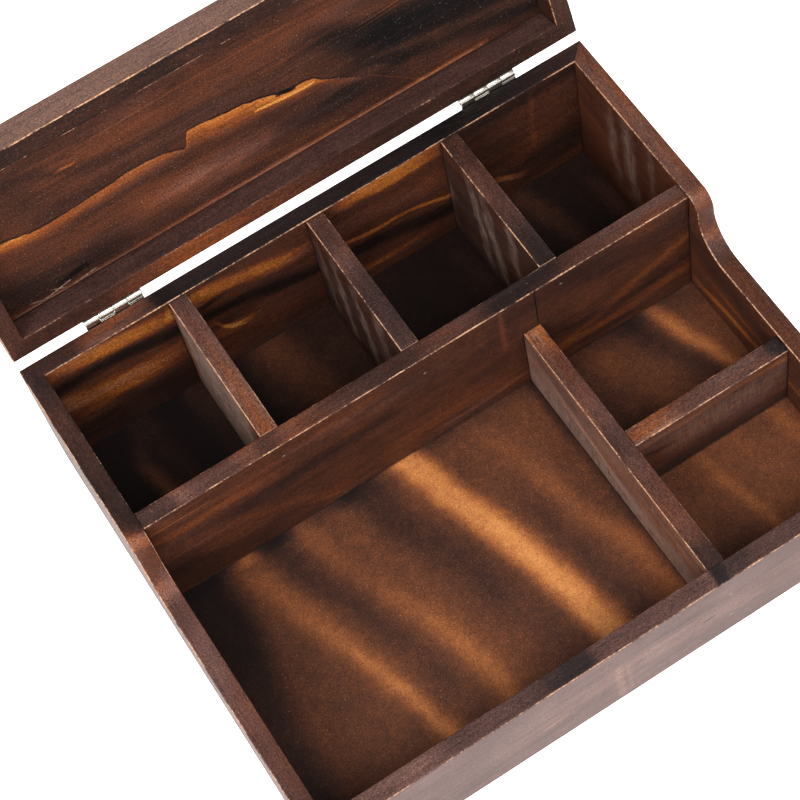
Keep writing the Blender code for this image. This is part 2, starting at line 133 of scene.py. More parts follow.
class Graph:
    """Adds nodes to a node tree. Each call gives the new node's output socket."""

    def __init__(self, tree):
        self.tree = tree

    def add(self, kind, inputs=(), output=0, **settings):
        node = self.tree.nodes.new(kind)
        for key, value in settings.items():
            setattr(node, key, value)
        for key, value in inputs:
            self.feed(node.inputs[key], value)
        return node.outputs[output]

    def feed(self, socket, value):
        if isinstance(value, bpy.types.NodeSocket):
            self.tree.links.new(value, socket)
        else:
            socket.default_value = value

    def math(self, operation, *values, clamp=False):
        return self.add("ShaderNodeMath", enumerate(values), operation=operation, use_clamp=clamp)

    def vector(self, operation, *values):
        output = 1 if operation in ("DOT_PRODUCT", "DISTANCE", "LENGTH") else 0
        return self.add("ShaderNodeVectorMath", enumerate(values), output, operation=operation)

    def scaled(self, vector, factor):
        return self.add("ShaderNodeVectorMath", [(0, vector), ("Scale", factor)], operation="SCALE")

    def noise(self, vector, scale, detail=2.0, rough=0.5, distortion=0.0, output=0):
        inputs = [("Vector", vector), ("Scale", scale), ("Detail", detail), ("Roughness", rough)]
        return self.add("ShaderNodeTexNoise", inputs + [("Distortion", distortion)], output)

    def smooth(self, value, start, end, to_start=0.0, to_end=1.0):
        inputs = [("Value", value), ("From Min", start), ("From Max", end)]
        inputs += [("To Min", to_start), ("To Max", to_end)]
        return self.add("ShaderNodeMapRange", inputs, interpolation_type="SMOOTHSTEP")

    def mix(self, factor, first, second, mode="MIX"):
        inputs = [(0, factor), (6, first), (7, second)]
        return self.add("ShaderNodeMix", inputs, 2, data_type="RGBA", blend_type=mode)

    def ramp(self, factor, stops):
        """A colour ramp through (position, hex code) stops."""
        node = self.tree.nodes.new("ShaderNodeValToRGB")
        elements = node.color_ramp.elements
        while len(elements) < len(stops):
            elements.new(0.5)
        for element, (position, code) in zip(elements, stops):
            element.position = position
            element.color = srgb(code)
        self.feed(node.inputs[0], factor)
        return node.outputs[0]

    def curve(self, value, points):
        """A smooth function through (x, y) points, all between 0 and 1."""
        node = self.tree.nodes.new("ShaderNodeFloatCurve")
        node.mapping.extend = "HORIZONTAL"
        line = node.mapping.curves[0]
        line.points[0].location = points[0]
        line.points[1].location = points[-1]
        for point in points[1:-1]:
            line.points.new(*point)
        node.mapping.update()
        self.feed(node.inputs["Value"], value)
        return node.outputs[0]


def spread(g, value, span, points):
    """A function of a value in millimetres, through (place, amount) points. Amounts lie between -1 and 1."""
    start, end = span
    share = g.math("DIVIDE", g.math("SUBTRACT", value, start * MM), (end - start) * MM)
    curve = g.curve(share, [((place - start) / (end - start), (amount + 1) / 2) for place, amount in points])
    return g.math("MULTIPLY_ADD", curve, 2.0, -1.0)


def band(g, axes, mark):
    """The mask of a long stroke. A mark is (plane, width, core, depth, points). plane names the axis along the
    stroke and the axis across it. Points are (along, across, strength), in millimetres."""
    plane, width, core, _, points = mark
    places = [point[0] for point in points]
    fade = min(FADE, 2.5 * width)
    span = (min(places) - fade, max(places) + fade)
    ordered = sorted(points)
    line = [(along, across / REACH) for along, across, _ in ordered]
    power = [(span[0], 0.0)] + [(along, strength) for along, _, strength in ordered] + [(span[1], 0.0)]
    along = axes[AXES[plane[0]]]
    across = axes[AXES[plane[1]]]
    centre = g.math("MULTIPLY", spread(g, along, span, line), REACH * MM)
    distance = g.math("ABSOLUTE", g.math("SUBTRACT", across, centre))
    mask = g.smooth(distance, width * core * MM, width * MM, 1.0, 0.0)
    return g.math("MULTIPLY", mask, spread(g, along, span, power))


def add_bands(g, place, drift, value, marks, cover=None):
    """Adds bands to a value: a mark's depth is how much it chars the wood, and on two floor bands how much painted
    shade darkens it. drift makes their edges wander, the narrow ones' less. cover limits them all."""
    loose = g.tree.nodes.new("ShaderNodeSeparateXYZ")
    g.feed(loose.inputs[0], g.vector("ADD", place, drift))
    tight = g.tree.nodes.new("ShaderNodeSeparateXYZ")
    g.feed(tight.inputs[0], g.vector("ADD", place, g.scaled(drift, 0.12)))
    for mark in marks:
        axes = tight if mark[1] < NARROW else loose
        mask = band(g, axes.outputs, mark)
        if cover is not None:
            mask = g.math("MULTIPLY", mask, cover)
        value = g.math("MULTIPLY_ADD", mask, mark[3], value)
    return value


# Finishes

# Depth of charring, from bare wood to black, where the varnish is warm and where ash has dulled it; the ashen grey is
# also used as painted sheen
WARM_RAMP = [
    (0.0, "#dd9a4c"), (0.16, "#bc7030"), (0.32, "#914f27"), (0.48, "#6a3b26"),
    (0.64, "#492b20"), (0.80, "#2c1c18"), (1.0, "#120d0d"),
]
ASH_AND_SHEEN_RAMP = [
    (0.0, "#c89f88"), (0.16, "#aa816e"), (0.32, "#8a685b"), (0.48, "#6b4c45"),
    (0.64, "#4d3732"), (0.80, "#302526"), (1.0, "#151216"),
]
BOARD_RAMP = [
    (0.0, "#c98a4e"), (0.2, "#a26435"), (0.4, "#754222"), (0.6, "#4d2a19"), (0.8, "#2a160f"), (1.0, "#0f0605"),
]
# colours of worn arrises, also used for a painted highlight on them
WORN_AND_HIGHLIGHT_LIGHT = "#c49a7a"
WORN_AND_HIGHLIGHT_DARK = "#8a5a3e"
SMUDGE_AND_SHEEN_LIGHT = "#9c8477"
SMUDGE_AND_SHEEN_DARK = "#5c4740"
CREVICE_SHADE_REACH = 1.6 * MM
AXES = {"x": 0, "y": 1, "z": 2}
FADE = 14
REACH = 260
NARROW = 4.5


def new_material(name):
    made = bpy.data.materials.new(name)
    made.use_nodes = True
    return made, Graph(made.node_tree), made.node_tree.nodes["Principled BSDF"]


def set_surface(g, shader, colour, roughness, height=None, depth=0.0001, **values):
    """Connects a Principled surface. height is a bump, depth its full relief in metres."""
    g.feed(shader.inputs["Base Color"], colour)
    g.feed(shader.inputs["Roughness"], roughness)
    if height is not None:
        bump = g.add("ShaderNodeBump", [("Height", height), ("Distance", depth), ("Strength", 1.0)])
        g.feed(shader.inputs["Normal"], bump)
    for name, value in values.items():
        shader.inputs[name.replace("_", " ")].default_value = value


def painted_crevice_shade(g, strength=0.85, reach=CREVICE_SHADE_REACH):
    """Painted shade from ambient occlusion: strength in the corners where two pieces meet, and 0 in the open."""
    open_sky = g.add("ShaderNodeAmbientOcclusion", [("Distance", reach)], 1, samples=6)
    return g.smooth(open_sky, 0.42, 0.78, strength, 0.0)


def torched_wood(name, grain, char, marks=(), seed=0.0, wear=0.5, ash_and_sheen=0.5, tops=(), smudges_and_sheen=(), extra=None, flip=1, shine=0.16, crevice_shade=0.85, top_ash=0.20):
    """Softwood charred with a torch, brushed and varnished, with painted shade in its corners. grain is the axis of
    the board's fibres, char its usual depth of charring, and ash how dull and grey it is; on the lid's front rail
    that grey is partly painted sheen. marks lie on its vertical faces. tops is (place, added depth) along the top
    edge. flip is -1 for a board whose top edge faces down in the object's frame. Its pale smudges are partly
    painted sheen, and the pale wear on its arrises is partly a painted highlight."""
    made, g, shader = new_material(name)
    place = g.add("ShaderNodeTexCoord", output=3)
    moved = g.vector("ADD", place, (seed * 0.37, seed * 0.71, seed * 0.53))
    squeeze = [1.0, 1.0, 1.0]
    squeeze[AXES[grain]] = 0.12
    fibre_space = g.vector("MULTIPLY", moved, squeeze)

    clouds = g.noise(moved, 1000 / 34, 2.0, 0.5, 0.4)
    figure = g.noise(fibre_space, 1000 / 8, 3.0, 0.6, 1.0)
    squeeze[AXES[grain]] = 0.06
    streaks = g.noise(g.vector("MULTIPLY", moved, squeeze), 1000 / 1.5, 3.0, 0.65)
    squeeze[AXES[grain]] = 0.4
    fibres = g.noise(g.vector("MULTIPLY", moved, squeeze), 1000 / 0.45, 2.0, 0.7)
    grit = g.noise(moved, 1000 / 0.42, 1.0, 0.6)

    drift = g.noise(fibre_space, 1000 / 14, 3.0, 0.6, 0.0, output=1)
    drift = g.scaled(g.vector("SUBTRACT", drift, (0.5, 0.5, 0.5)), 13 * MM)
    lift = g.add("ShaderNodeSeparateXYZ", [(0, g.add("ShaderNodeTexCoord", output=1))], 2)
    upward = g.smooth(g.math("MULTIPLY", lift, flip), 0.3, 0.8)
    upright_part = g.math("SUBTRACT", 1.0, upward)

    depth = g.math("MULTIPLY_ADD", g.math("SUBTRACT", clouds, 0.5), 0.22, char)
    depth = g.math("MULTIPLY_ADD", g.math("SUBTRACT", figure, 0.5), 0.27, depth)
    depth = g.math("MULTIPLY_ADD", g.math("SUBTRACT", streaks, 0.5), 0.24, depth)
    depth = add_bands(g, place, drift, depth, marks, upright_part)
    if extra is not None:
        depth, dull_share = extra(g, place, drift, depth)
    if tops:
        axes = g.tree.nodes.new("ShaderNodeSeparateXYZ")
        g.feed(axes.inputs[0], g.vector("ADD", place, drift))
        along = axes.outputs[AXES[grain]]
        change = spread(g, along, (tops[0][0], tops[-1][0]), tops)
        depth = g.math("MULTIPLY_ADD", upward, change, depth)
    ash_and_sheen_share = g.math("ADD", g.noise(g.vector("ADD", fibre_space, (2.2, 1.1, 3.3)), 1000 / 12, 3.0, 0.6), ash_and_sheen - 0.5)
    ash_and_sheen_share = g.smooth(g.math("MULTIPLY_ADD", upward, top_ash, ash_and_sheen_share), 0.28, 0.72)
    if extra is not None:
        ash_and_sheen_share = g.math("MULTIPLY", ash_and_sheen_share, dull_share)
    # the ashen colours mark dull ash, and on the lid's front rail also a painted sheen
    colour = g.mix(ash_and_sheen_share, g.ramp(depth, WARM_RAMP), g.ramp(depth, ASH_AND_SHEEN_RAMP))
    colour = g.mix(1.0, colour, g.ramp(fibres, [(0.32, "#968e8d"), (0.66, "#ffffff")]), "MULTIPLY")
    colour = g.mix(1.0, colour, g.ramp(grit, [(0.32, "#a8a1a0"), (0.68, "#ffffff")]), "MULTIPLY")

    if smudges_and_sheen:
        rubbed_and_sheen = add_bands(g, place, drift, 0.0, smudges_and_sheen, upright_part if flip < 0 or extra is None else None)
        brushed = g.noise(g.vector("MULTIPLY", moved, (1.0, 1.0, 0.16)), 1000 / 1.4, 3.0, 0.65)
        rubbed_and_sheen = g.math("MULTIPLY", rubbed_and_sheen, g.smooth(brushed, 0.36, 0.60, 0.25, 1.15))
        # pale smudges; the widest bands on the dividers are painted sheen
        colour = g.mix(rubbed_and_sheen, colour, g.ramp(grit, [(0.3, SMUDGE_AND_SHEEN_DARK), (0.7, SMUDGE_AND_SHEEN_LIGHT)]))

    pores = g.smooth(g.noise(fibre_space, 1000 / 0.8, 1.0, 0.5), 0.63, 0.72)
    colour = g.mix(g.math("MULTIPLY", pores, 0.55), colour, srgb("#120c0a"))

    edge = g.add("ShaderNodeAttribute", output=2, attribute_name="edge")
    patch = g.noise(moved, 1000 / 18, 3.0, 0.65)
    nicks = g.noise(moved, 1000 / 1.3, 3.0, 0.7)
    wear_and_highlight = g.math("MULTIPLY_ADD", g.math("SUBTRACT", patch, 0.5), 1.8, edge)
    wear_and_highlight = g.math("MULTIPLY_ADD", g.math("SUBTRACT", nicks, 0.5), 0.9, wear_and_highlight)
    # Arrises turned away from the front left, where the key light stands, get less pale wear: partly real wear, partly
    # painted highlight
    facing = g.vector("DOT_PRODUCT", g.add("ShaderNodeTexCoord", output=1), (-0.8, -0.6, 0))
    wear_and_highlight = g.math("ADD", wear_and_highlight, g.smooth(facing, -0.3, 0.3, -0.34, 0.0))
    worn = g.smooth(wear_and_highlight, 1.05 - wear * 0.5, 1.50 - wear * 0.5)
    worn = g.math("MULTIPLY", worn, g.smooth(edge, 0.93, 1.0, 0.0, min(1.0, 0.45 + 0.45 * wear)))
    colour = g.mix(worn, colour, g.ramp(nicks, [(0.35, WORN_AND_HIGHLIGHT_DARK), (0.62, WORN_AND_HIGHLIGHT_LIGHT)]))

    dust = g.smooth(g.noise(moved, 1000 / 0.5, 0.0), 0.79, 0.83)
    colour = g.mix(g.math("MULTIPLY", dust, 0.3), colour, srgb("#a08f80"))

    # painted shade: near black in the corners where pieces meet
    colour = g.mix(painted_crevice_shade(g, crevice_shade), colour, srgb("#0d0908"))

    roughness = g.math("MULTIPLY_ADD", clouds, 0.12, 0.38)
    roughness = g.math("MULTIPLY_ADD", fibres, 0.14, roughness)
    height = g.math("SUBTRACT", g.math("ADD", fibres, g.math("MULTIPLY", grit, 0.6)), g.math("MULTIPLY", pores, 0.8))
    set_surface(g, shader, colour, roughness, height, 0.00007, Specular_IOR_Level=shine)
    return made


FLOOR_BANDS = [
    ("yx", 11, 0.0, -0.17, [(146, -110, 0.5), (120, -104, 0.9), (96, -96, 1), (60, -85, 1), (16, -73, 1)]),
    ("yx", 7, 0.0, -0.12, [(110, -102, 0.0), (80, -90, 0.8), (56, -83, 1), (36, -78, 1), (14, -73, 1)]),
    ("yx", 9, 0.0, -0.14, [(150, -80, 0.9), (120, -72, 0.5), (90, -60, 0.6), (50, -47, 0.9), (14, -42, 1)]),
    ("yx", 19, 0.0, -0.10, [(100, -60, 0.3), (60, -48, 1), (14, -42, 1)]),
    ("yx", 13, 0.2, -0.39, [(158, -22, 1), (118, -12, 1), (85, -2, 1), (55, 5, 1), (10, 14, 1)]),
    ("yx", 6, 0.0, -0.10, [(110, -8, 0.2), (80, 0, 1), (55, 5, 0.5), (20, 11, 0.5)]),
    ("yx", 10, 0.0, -0.16, [(148, 14, 0.3), (110, 26, 0.6), (80, 33, 0.8), (55, 41, 1), (10, 49, 1)]),
    ("yx", 23, 0.25, 0.34, [(156, -138, 1), (110, -136, 1), (80, -142, 0.7), (40, -146, 0.8), (4, -146, 0.8)]),
    ("yx", 12, 0.0, 0.17, [(156, -96, 1), (130, -90, 1), (90, -76, 0.7), (50, -62, 0.5), (20, -58, 0.2)]),
    ("yx", 17, 0.1, 0.18, [(156, -46, 1), (125, -40, 1), (95, -28, 0.8), (60, -16, 0.5), (24, -8, 0.2)]),
    ("yx", 10, 0.0, 0.14, [(110, 10, 0.3), (80, 18, 0.8), (40, 26, 0.8), (14, 30, 0.7)]),
    ("yx", 7, 0.0, 0.22, [(156, 52, 0.9), (90, 52, 0.7), (10, 54, 0.5)]),
    ("yx", 8, 0.0, -0.26, [(156, 116, 1), (128, 125, 1), (102, 133, 0.9)]),
    ("yx", 12, 0.0, -0.06, [(146, 82, 0.8), (120, 92, 0.8), (104, 98, 0.8)]),
    ("yx", 13, 0.0, 0.18, [(158, 100, 1), (130, 112, 0.9), (100, 124, 0.8)]),
    ("yx", 12, 0.0, 0.10, [(158, 66, 1), (130, 70, 1), (100, 74, 1)]),
    ("yx", 6, 0.0, -0.13, [(66, 92, 0.7), (40, 98, 1), (10, 104, 0.9)]),
    ("yx", 30, 0.3, -0.05, [(70, 100, 1), (30, 104, 1), (6, 108, 1)]),
    ("yx", 9, 0.0, -0.12, [(70, 134, 1), (40, 142, 1)]),
    # painted shade: darkens the floors of all the rear compartments
    ("xy", 46, 0.75, 0.29, [(-150, 206, 1), (-10, 206, 0.8), (20, 206, 1.2), (90, 206, 1.2), (150, 206, 1)]),
    # painted shadow of the middle board along the near edge of the rear floors
    ("xy", 30, 0.1, 0.26, [(-150, 166, 1), (0, 166, 1), (150, 166, 1)]),
    ("yx", 9, 0.0, -0.34, [(220, -126, 0.6), (190, -117, 1), (158, -108, 1)]),
    ("yx", 16, 0.2, 0.36, [(246, -134, 1), (200, -138, 1), (158, -138, 1)]),
    ("yx", 13, 0.0, 0.28, [(246, -100, 1), (200, -94, 1), (158, -90, 0.8)]),
    ("yx", 18, 0.1, -0.20, [(244, -42, 1), (200, -34, 1), (158, -28, 1)]),
    ("yx", 12, 0.0, 0.20, [(244, -66, 1), (200, -62, 1), (158, -54, 1)]),
    ("yx", 11, 0.0, -0.14, [(230, 60, 0.4), (190, 64, 0.9), (158, 66, 0.8)]),
    ("yx", 11, 0.0, -0.20, [(240, 103, 1), (205, 112, 1), (170, 118, 0.8)]),
    ("yx", 8, 0.0, -0.18, [(220, 138, 0.6), (190, 140, 1), (160, 140, 0.9)]),
]


def hardboard(name):
    """Stained hardboard scorched in bands that run from back to front, with painted shade across the rear compartments
    and in its corners.
    """
    made, g, shader = new_material(name)
    place = g.add("ShaderNodeTexCoord", output=3)
    drift = g.noise(place, 1000 / 24, 3.0, 0.6, 0.0, output=1)
    drift = g.scaled(g.vector("SUBTRACT", drift, (0.5, 0.5, 0.5)), 5 * MM)
    clouds = g.noise(place, 1000 / 26, 3.0, 0.6)
    mottle = g.noise(place, 1000 / 3.6, 3.0, 0.7)
    fibres = g.noise(place, 1000 / 0.6, 3.0, 0.75, 1.2)
    grit = g.noise(place, 1000 / 0.4, 1.0, 0.6)
    depth = g.math("MULTIPLY_ADD", g.math("SUBTRACT", clouds, 0.5), 0.22, 0.62)
    depth = g.math("MULTIPLY_ADD", g.math("SUBTRACT", mottle, 0.5), 0.22, depth)
    depth = g.math("MULTIPLY_ADD", g.math("SUBTRACT", fibres, 0.5), 0.90, depth)
    depth = g.math("MULTIPLY_ADD", g.math("SUBTRACT", grit, 0.5), 0.30, depth)
    depth = add_bands(g, place, drift, depth, FLOOR_BANDS)
    colour = g.ramp(depth, BOARD_RAMP)
    shown = g.smooth(depth, 1.0, 0.6)
    specks = g.smooth(g.noise(place, 1000 / 0.7, 1.0, 0.5), 0.71, 0.77)
    colour = g.mix(g.math("MULTIPLY", g.math("MULTIPLY", specks, shown), 0.35), colour, srgb("#d0a078"))
    pits = g.smooth(g.noise(g.vector("ADD", place, (3.1, 1.7, 0.4)), 1000 / 0.8, 1.0), 0.68, 0.76)
    colour = g.mix(g.math("MULTIPLY", pits, 0.6), colour, srgb("#1a100c"))
    # painted shade: near black where the floor meets the boards
    colour = g.mix(painted_crevice_shade(g), colour, srgb("#0d0908"))
    roughness = g.math("MULTIPLY_ADD", fibres, 0.2, 0.42)
    set_surface(g, shader, colour, roughness, fibres, 0.00014, Specular_IOR_Level=0.2)
    return made


def nickel(name):
    """Nickel plate, drawn along the hinge, with faint tarnish."""
    made, g, shader = new_material(name)
    place = g.add("ShaderNodeTexCoord", output=3)
    drawn = g.noise(g.vector("MULTIPLY", place, (0.05, 1.0, 1.0)), 1000 / 0.15, 3.0, 0.6)
    tarnish = g.noise(place, 1000 / 3.5, 3.0, 0.6)
    colour = g.ramp(tarnish, [(0.3, "#a29c93"), (0.6, "#d2ccc3")])
    # painted shade in the hinge's hollows and round its screw heads
    colour = g.mix(painted_crevice_shade(g, 0.9, 0.5 * MM), colour, srgb("#1c1814"))
    roughness = g.math("MULTIPLY_ADD", drawn, 0.12, 0.20)
    set_surface(g, shader, colour, roughness, drawn, 0.000004, Metallic=1.0)
    return made


def brad_steel(name):
    """The dull head of a brad, with scorched varnish in its hollows."""
    made, g, shader = new_material(name)
    place = g.add("ShaderNodeTexCoord", output=3)
    crust = g.smooth(g.noise(place, 1000 / 0.9, 3.0, 0.6), 0.42, 0.58)
    colour = g.mix(crust, srgb("#2a1d18"), srgb("#8c7c6c"))
    roughness = g.math("MULTIPLY_ADD", crust, -0.2, 0.6)
    set_surface(g, shader, colour, roughness, crust, 0.00004, Metallic=0.55)
    return made


def pale_floor(name):
    made, g, shader = new_material(name)
    place = g.add("ShaderNodeTexCoord", output=3)
    colour = g.ramp(g.noise(place, 3.0, 2.0), [(0.3, "#f1f0ef"), (0.7, "#f6f5f4")])
    set_surface(g, shader, colour, 0.9, Specular_IOR_Level=0.2, Emission_Strength=FLOOR_GLOW)
    g.feed(shader.inputs["Emission Color"], colour)
    return made


# Boards

def unevenness(along, seed):
    """How much an arris has been sanded away at a place along it, about 1."""
    slow = noise.noise(Vector((along * 55, seed * 3.7, 0.2)))
    quick = noise.noise(Vector((along * 310, seed * 5.1, 4.6)))
    return 1 + 0.25 * slow + 0.18 * quick


def ring(corners, along, seed):
    """Points round a section, as (point, outward normal, edge). Corners are (inset, height, radius), and run
    anticlockwise; a corner without a radius stays sharp. edge is 1 on a rounded arris and 0 on the faces."""
    points = []
    count = len(corners)
    spots = [Vector(corner[:2]) for corner in corners]
    for index, (_, _, radius) in enumerate(corners):
        here = spots[index]
        after = spots[(index + 1) % count]
        into = (here - spots[index - 1]).normalized()
        out = (after - here).normalized()
        facing = Vector((into.y, -into.x))
        next_facing = Vector((out.y, -out.x))
        if radius:
            worn = radius * unevenness(along, seed + index)
            centre = here - into * worn + out * worn
            for step in range(ARC_STEPS + 1):
                angle = math.pi / 2 * step / ARC_STEPS
                normal = facing * math.cos(angle) + next_facing * math.sin(angle)
                points.append((centre + normal * worn, normal, 1.0))
        else:
            points.append((here, (facing + next_facing).normalized(), 0.0))
        length = (after - here).length
        rounded_after = corners[(index + 1) % count][2] > 0
        start = SHOULDER if radius else 0.0
        stop = length - (SHOULDER if rounded_after else 0.0)
        if stop - start < SHOULDER / 2:
            continue
        parts = max(1, round((stop - start) / FACE_STEP))
        for part in range(parts + 1):
            distance = start + (stop - start) * part / parts
            if 0.0 < distance < length:
                points.append((here + out * distance, next_facing, 0.0))
    return points


def end_rows(mitred):
    """(distance from the end, how far the surface is drawn in, whether it is an arris) over an eased end."""
    radius = ARRIS if mitred else END_EASE
    first = math.pi / 4 if mitred else math.pi / 2
    rows = []
    for step in range(ARC_STEPS + 1):
        angle = first * (1 - step / ARC_STEPS)
        away = radius * (math.sin(first) - math.sin(angle))
        rows.append((away, radius * (1 - math.cos(angle)), step < ARC_STEPS))
    rows.append((SHOULDER, 0.0, False))
    return rows


def all_rows(length, mitred, fine=None):
    """Every station of a board as (side, distance from that end, drawn in, arris). fine is a stretch (start,
    end), measured from the middle, whose stations lie closer together."""
    half = length / 2
    ends = end_rows(mitred)
    first = ends[-1][0]
    places = []
    at = -half + first
    while at < half - first - STATION_STEP / 2:
        near = fine is not None and fine[0] <= at <= fine[1]
        at += STATION_STEP / 3 if near else STATION_STEP
        places.append(min(at, half - first - STATION_STEP / 3))
    rows = [(-1, *row) for row in ends]
    rows += [(-1, half + place, 0.0, False) for place in places if place < 0]
    rows += [(1, half - place, 0.0, False) for place in places if place >= 0]
    return rows + [(1, *row) for row in reversed(ends)]


def sweep(name, corners, length, place, finish, body, seed, mitred=False, shape=None, fine=None):
    """A board swept along its length. place takes (along, inset, height) to the object's frame, and shape may
    first bend (along, height)."""
    half = length / 2
    trim = ARRIS * (1 - math.sqrt(0.5))
    coordinates = []
    edges = []
    size = 0
    for side, away, drawn, arris in all_rows(length, mitred, fine):
        points = ring(corners, side * (half - away), seed)
        size = len(points)
        for point, normal, edge in points:
            inset, height = point
            distance = away
            if mitred:
                inset = max(inset, drawn)
                slack = max(0.0, 1 - away / MITRE_REACH)
                distance = away + max(inset, trim) * slack + SEAM
                edge = 1.0 if arris and inset < 2 * trim else edge
            else:
                inset, height = point - normal * drawn
                edge = 1.0 if arris and edge == 0.0 else edge
            along = side * (half - distance)
            if shape is not None:
                along, height = shape(along, height)
            coordinates.append(place @ Vector((along, inset, height)))
            edges.append(edge)
    rings = len(coordinates) // size
    faces = [tuple(reversed(range(size))), tuple(range((rings - 1) * size, rings * size))]
    for row in range(rings - 1):
        for index in range(size):
            after = (index + 1) % size
            base = row * size
            faces.append((base + index, base + after, base + size + after, base + size + index))
    mesh = bpy.data.meshes.new(name)
    mesh.from_pydata(coordinates, [], faces)
    attribute = mesh.attributes.new("edge", "FLOAT", "POINT")
    attribute.data.foreach_set("value", edges)
    return finish_piece(name, drilled(name, mesh, body), finish, body)


def overlaps(first, second):
    return all(first[0][axis] < second[1][axis] and second[0][axis] < first[1][axis] for axis in range(3))


def drilled(name, mesh, body):
    """A board's mesh with holes for the brads and screws that its CAD node meets."""
    matrix = LID_PLACE if body == "lid" else Matrix.Identity(4)
    board_box = local_box(name, matrix)
    holes = []
    for node in frame["nodes"]:
        if "brad" not in node and "screw" not in node:
            continue
        if not overlaps(board_box, local_box(node, matrix)):
            continue
        head, direction = head_and_direction(node, matrix)
        corner, far = local_box(node, matrix)
        length = max(far - corner)
        radius = (0.9 if "brad" in node else 1.15) * MM
        bm = bmesh.new()
        shape = Matrix.Translation(head + direction * length / 2) @ upright(direction)
        depth = length + 2 * HOLE_PLAY
        bmesh.ops.create_cone(bm, cap_ends=True, segments=20, radius1=radius, radius2=radius, depth=depth, matrix=shape)
        holes.append(solid(bm))
    if not holes:
        return mesh
    outward(mesh)
    return combined(object_from(mesh), holes, "DIFFERENCE")


def outward(mesh):
    bm = bmesh.new()
    bm.from_mesh(mesh)
    bmesh.ops.recalc_face_normals(bm, faces=bm.faces)
    bm.to_mesh(mesh)
    bm.free()


def finish_piece(name, mesh, finish, body):
    """Makes the piece that stands for a CAD node of the same name."""
    outward(mesh)
    mesh.shade_smooth()
    mesh.set_sharp_from_angle(angle=math.radians(40))
    made = bpy.data.objects.new(name + "_finished", mesh)
    bpy.context.scene.collection.objects.link(made)
    mesh.materials.append(finish)
    made.matrix_world = LID_PLACE if body == "lid" else Matrix.Identity(4)
    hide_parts(name)
    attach(made, body)
    return made


def lay(origin, along, inset, height=(0, 0, 1)):
    """The matrix that takes (along, inset, height) to a place in the object's frame."""
    columns = [Vector(along), Vector(inset), Vector(height), Vector(origin)]
    return Matrix([[column[row] for column in columns] for row in range(3)] + [[0, 0, 0, 1]])


def grooved(height):
    """The section of an outer board, with the floor's groove in its inner face."""
    bottom = FLOOR_BOTTOM - GROOVE_PLAY
    top = FLOOR_TOP + GROOVE_PLAY
    reach = BOARD - GROOVE_DEPTH - GROOVE_PLAY
    return [
        (0, 0, ARRIS),
        (BOARD, 0, ARRIS),
        (BOARD, bottom, 0),
        (reach, bottom, 0),
        (reach, top, 0),
        (BOARD, top, 0),
        (BOARD, height, ARRIS),
        (0, height, ARRIS),
    ]


def plain(thickness, height, radius=ARRIS):
    return [(0, 0, radius), (thickness, 0, radius), (thickness, height, radius), (0, height, radius)]


CURVE_START = STEP_Y - SWEEP_RADIUS - 7 * MM
CURVE_END = STEP_Y + CREST_RADIUS
TOP_DEPTH = 3 * MM
LOW_BAND = 14 * MM


def top_path(distance):
    """A point on the side's top edge and the normal there, at a distance along it from CURVE_START."""
    flat = STEP_Y - SWEEP_RADIUS - CURVE_START
    if distance <= flat:
        return Vector((CURVE_START + distance, FRONT_HEIGHT)), Vector((0, 1))
    distance -= flat
    turn = distance / SWEEP_RADIUS
    if turn <= math.pi / 2:
        ray = Vector((math.sin(turn), -math.cos(turn)))
        return Vector((STEP_Y - SWEEP_RADIUS, CREST_Z)) + ray * SWEEP_RADIUS, -ray
    distance -= SWEEP_RADIUS * math.pi / 2
    turn = distance / CREST_RADIUS
    if turn <= math.pi / 2 - CREST_ANGLE:
        ray = Vector((-math.cos(turn), math.sin(turn)))
        return Vector((STEP_Y + CREST_RADIUS, CREST_Z)) + ray * CREST_RADIUS, ray
    distance -= CREST_RADIUS * (math.pi / 2 - CREST_ANGLE)
    crease = STEP_Y + CREST_RADIUS * (1 - math.sin(CREST_ANGLE))
    return Vector((crease + distance, BACK_HEIGHT)), Vector((0, 1))


def path_length():
    crease = STEP_Y + CREST_RADIUS * (1 - math.sin(CREST_ANGLE))
    arcs = SWEEP_RADIUS * math.pi / 2 + CREST_RADIUS * (math.pi / 2 - CREST_ANGLE)
    return STEP_Y - SWEEP_RADIUS - CURVE_START + arcs + CURVE_END - crease


MIDDLE_Y = (FRONT_Y + BACK_Y) / 2


def side_shape(along, height):
    """Bends a board of full height to the side's outline. along is measured from the board's middle."""
    y = along + MIDDLE_Y
    if y >= CURVE_END or height <= LOW_BAND:
        return along, height
    if y <= CURVE_START:
        top, normal = Vector((y, FRONT_HEIGHT)), Vector((0, 1))
    else:
        share = (y - CURVE_START) / (CURVE_END - CURVE_START)
        top, normal = top_path(share * path_length())
    depth = BACK_HEIGHT - height
    if depth <= TOP_DEPTH:
        bent = top - normal * depth
    else:
        share = (height - LOW_BAND) / (BACK_HEIGHT - TOP_DEPTH - LOW_BAND)
        bent = Vector((y, LOW_BAND)).lerp(top - normal * TOP_DEPTH, share)
    return bent.x - MIDDLE_Y, bent.y
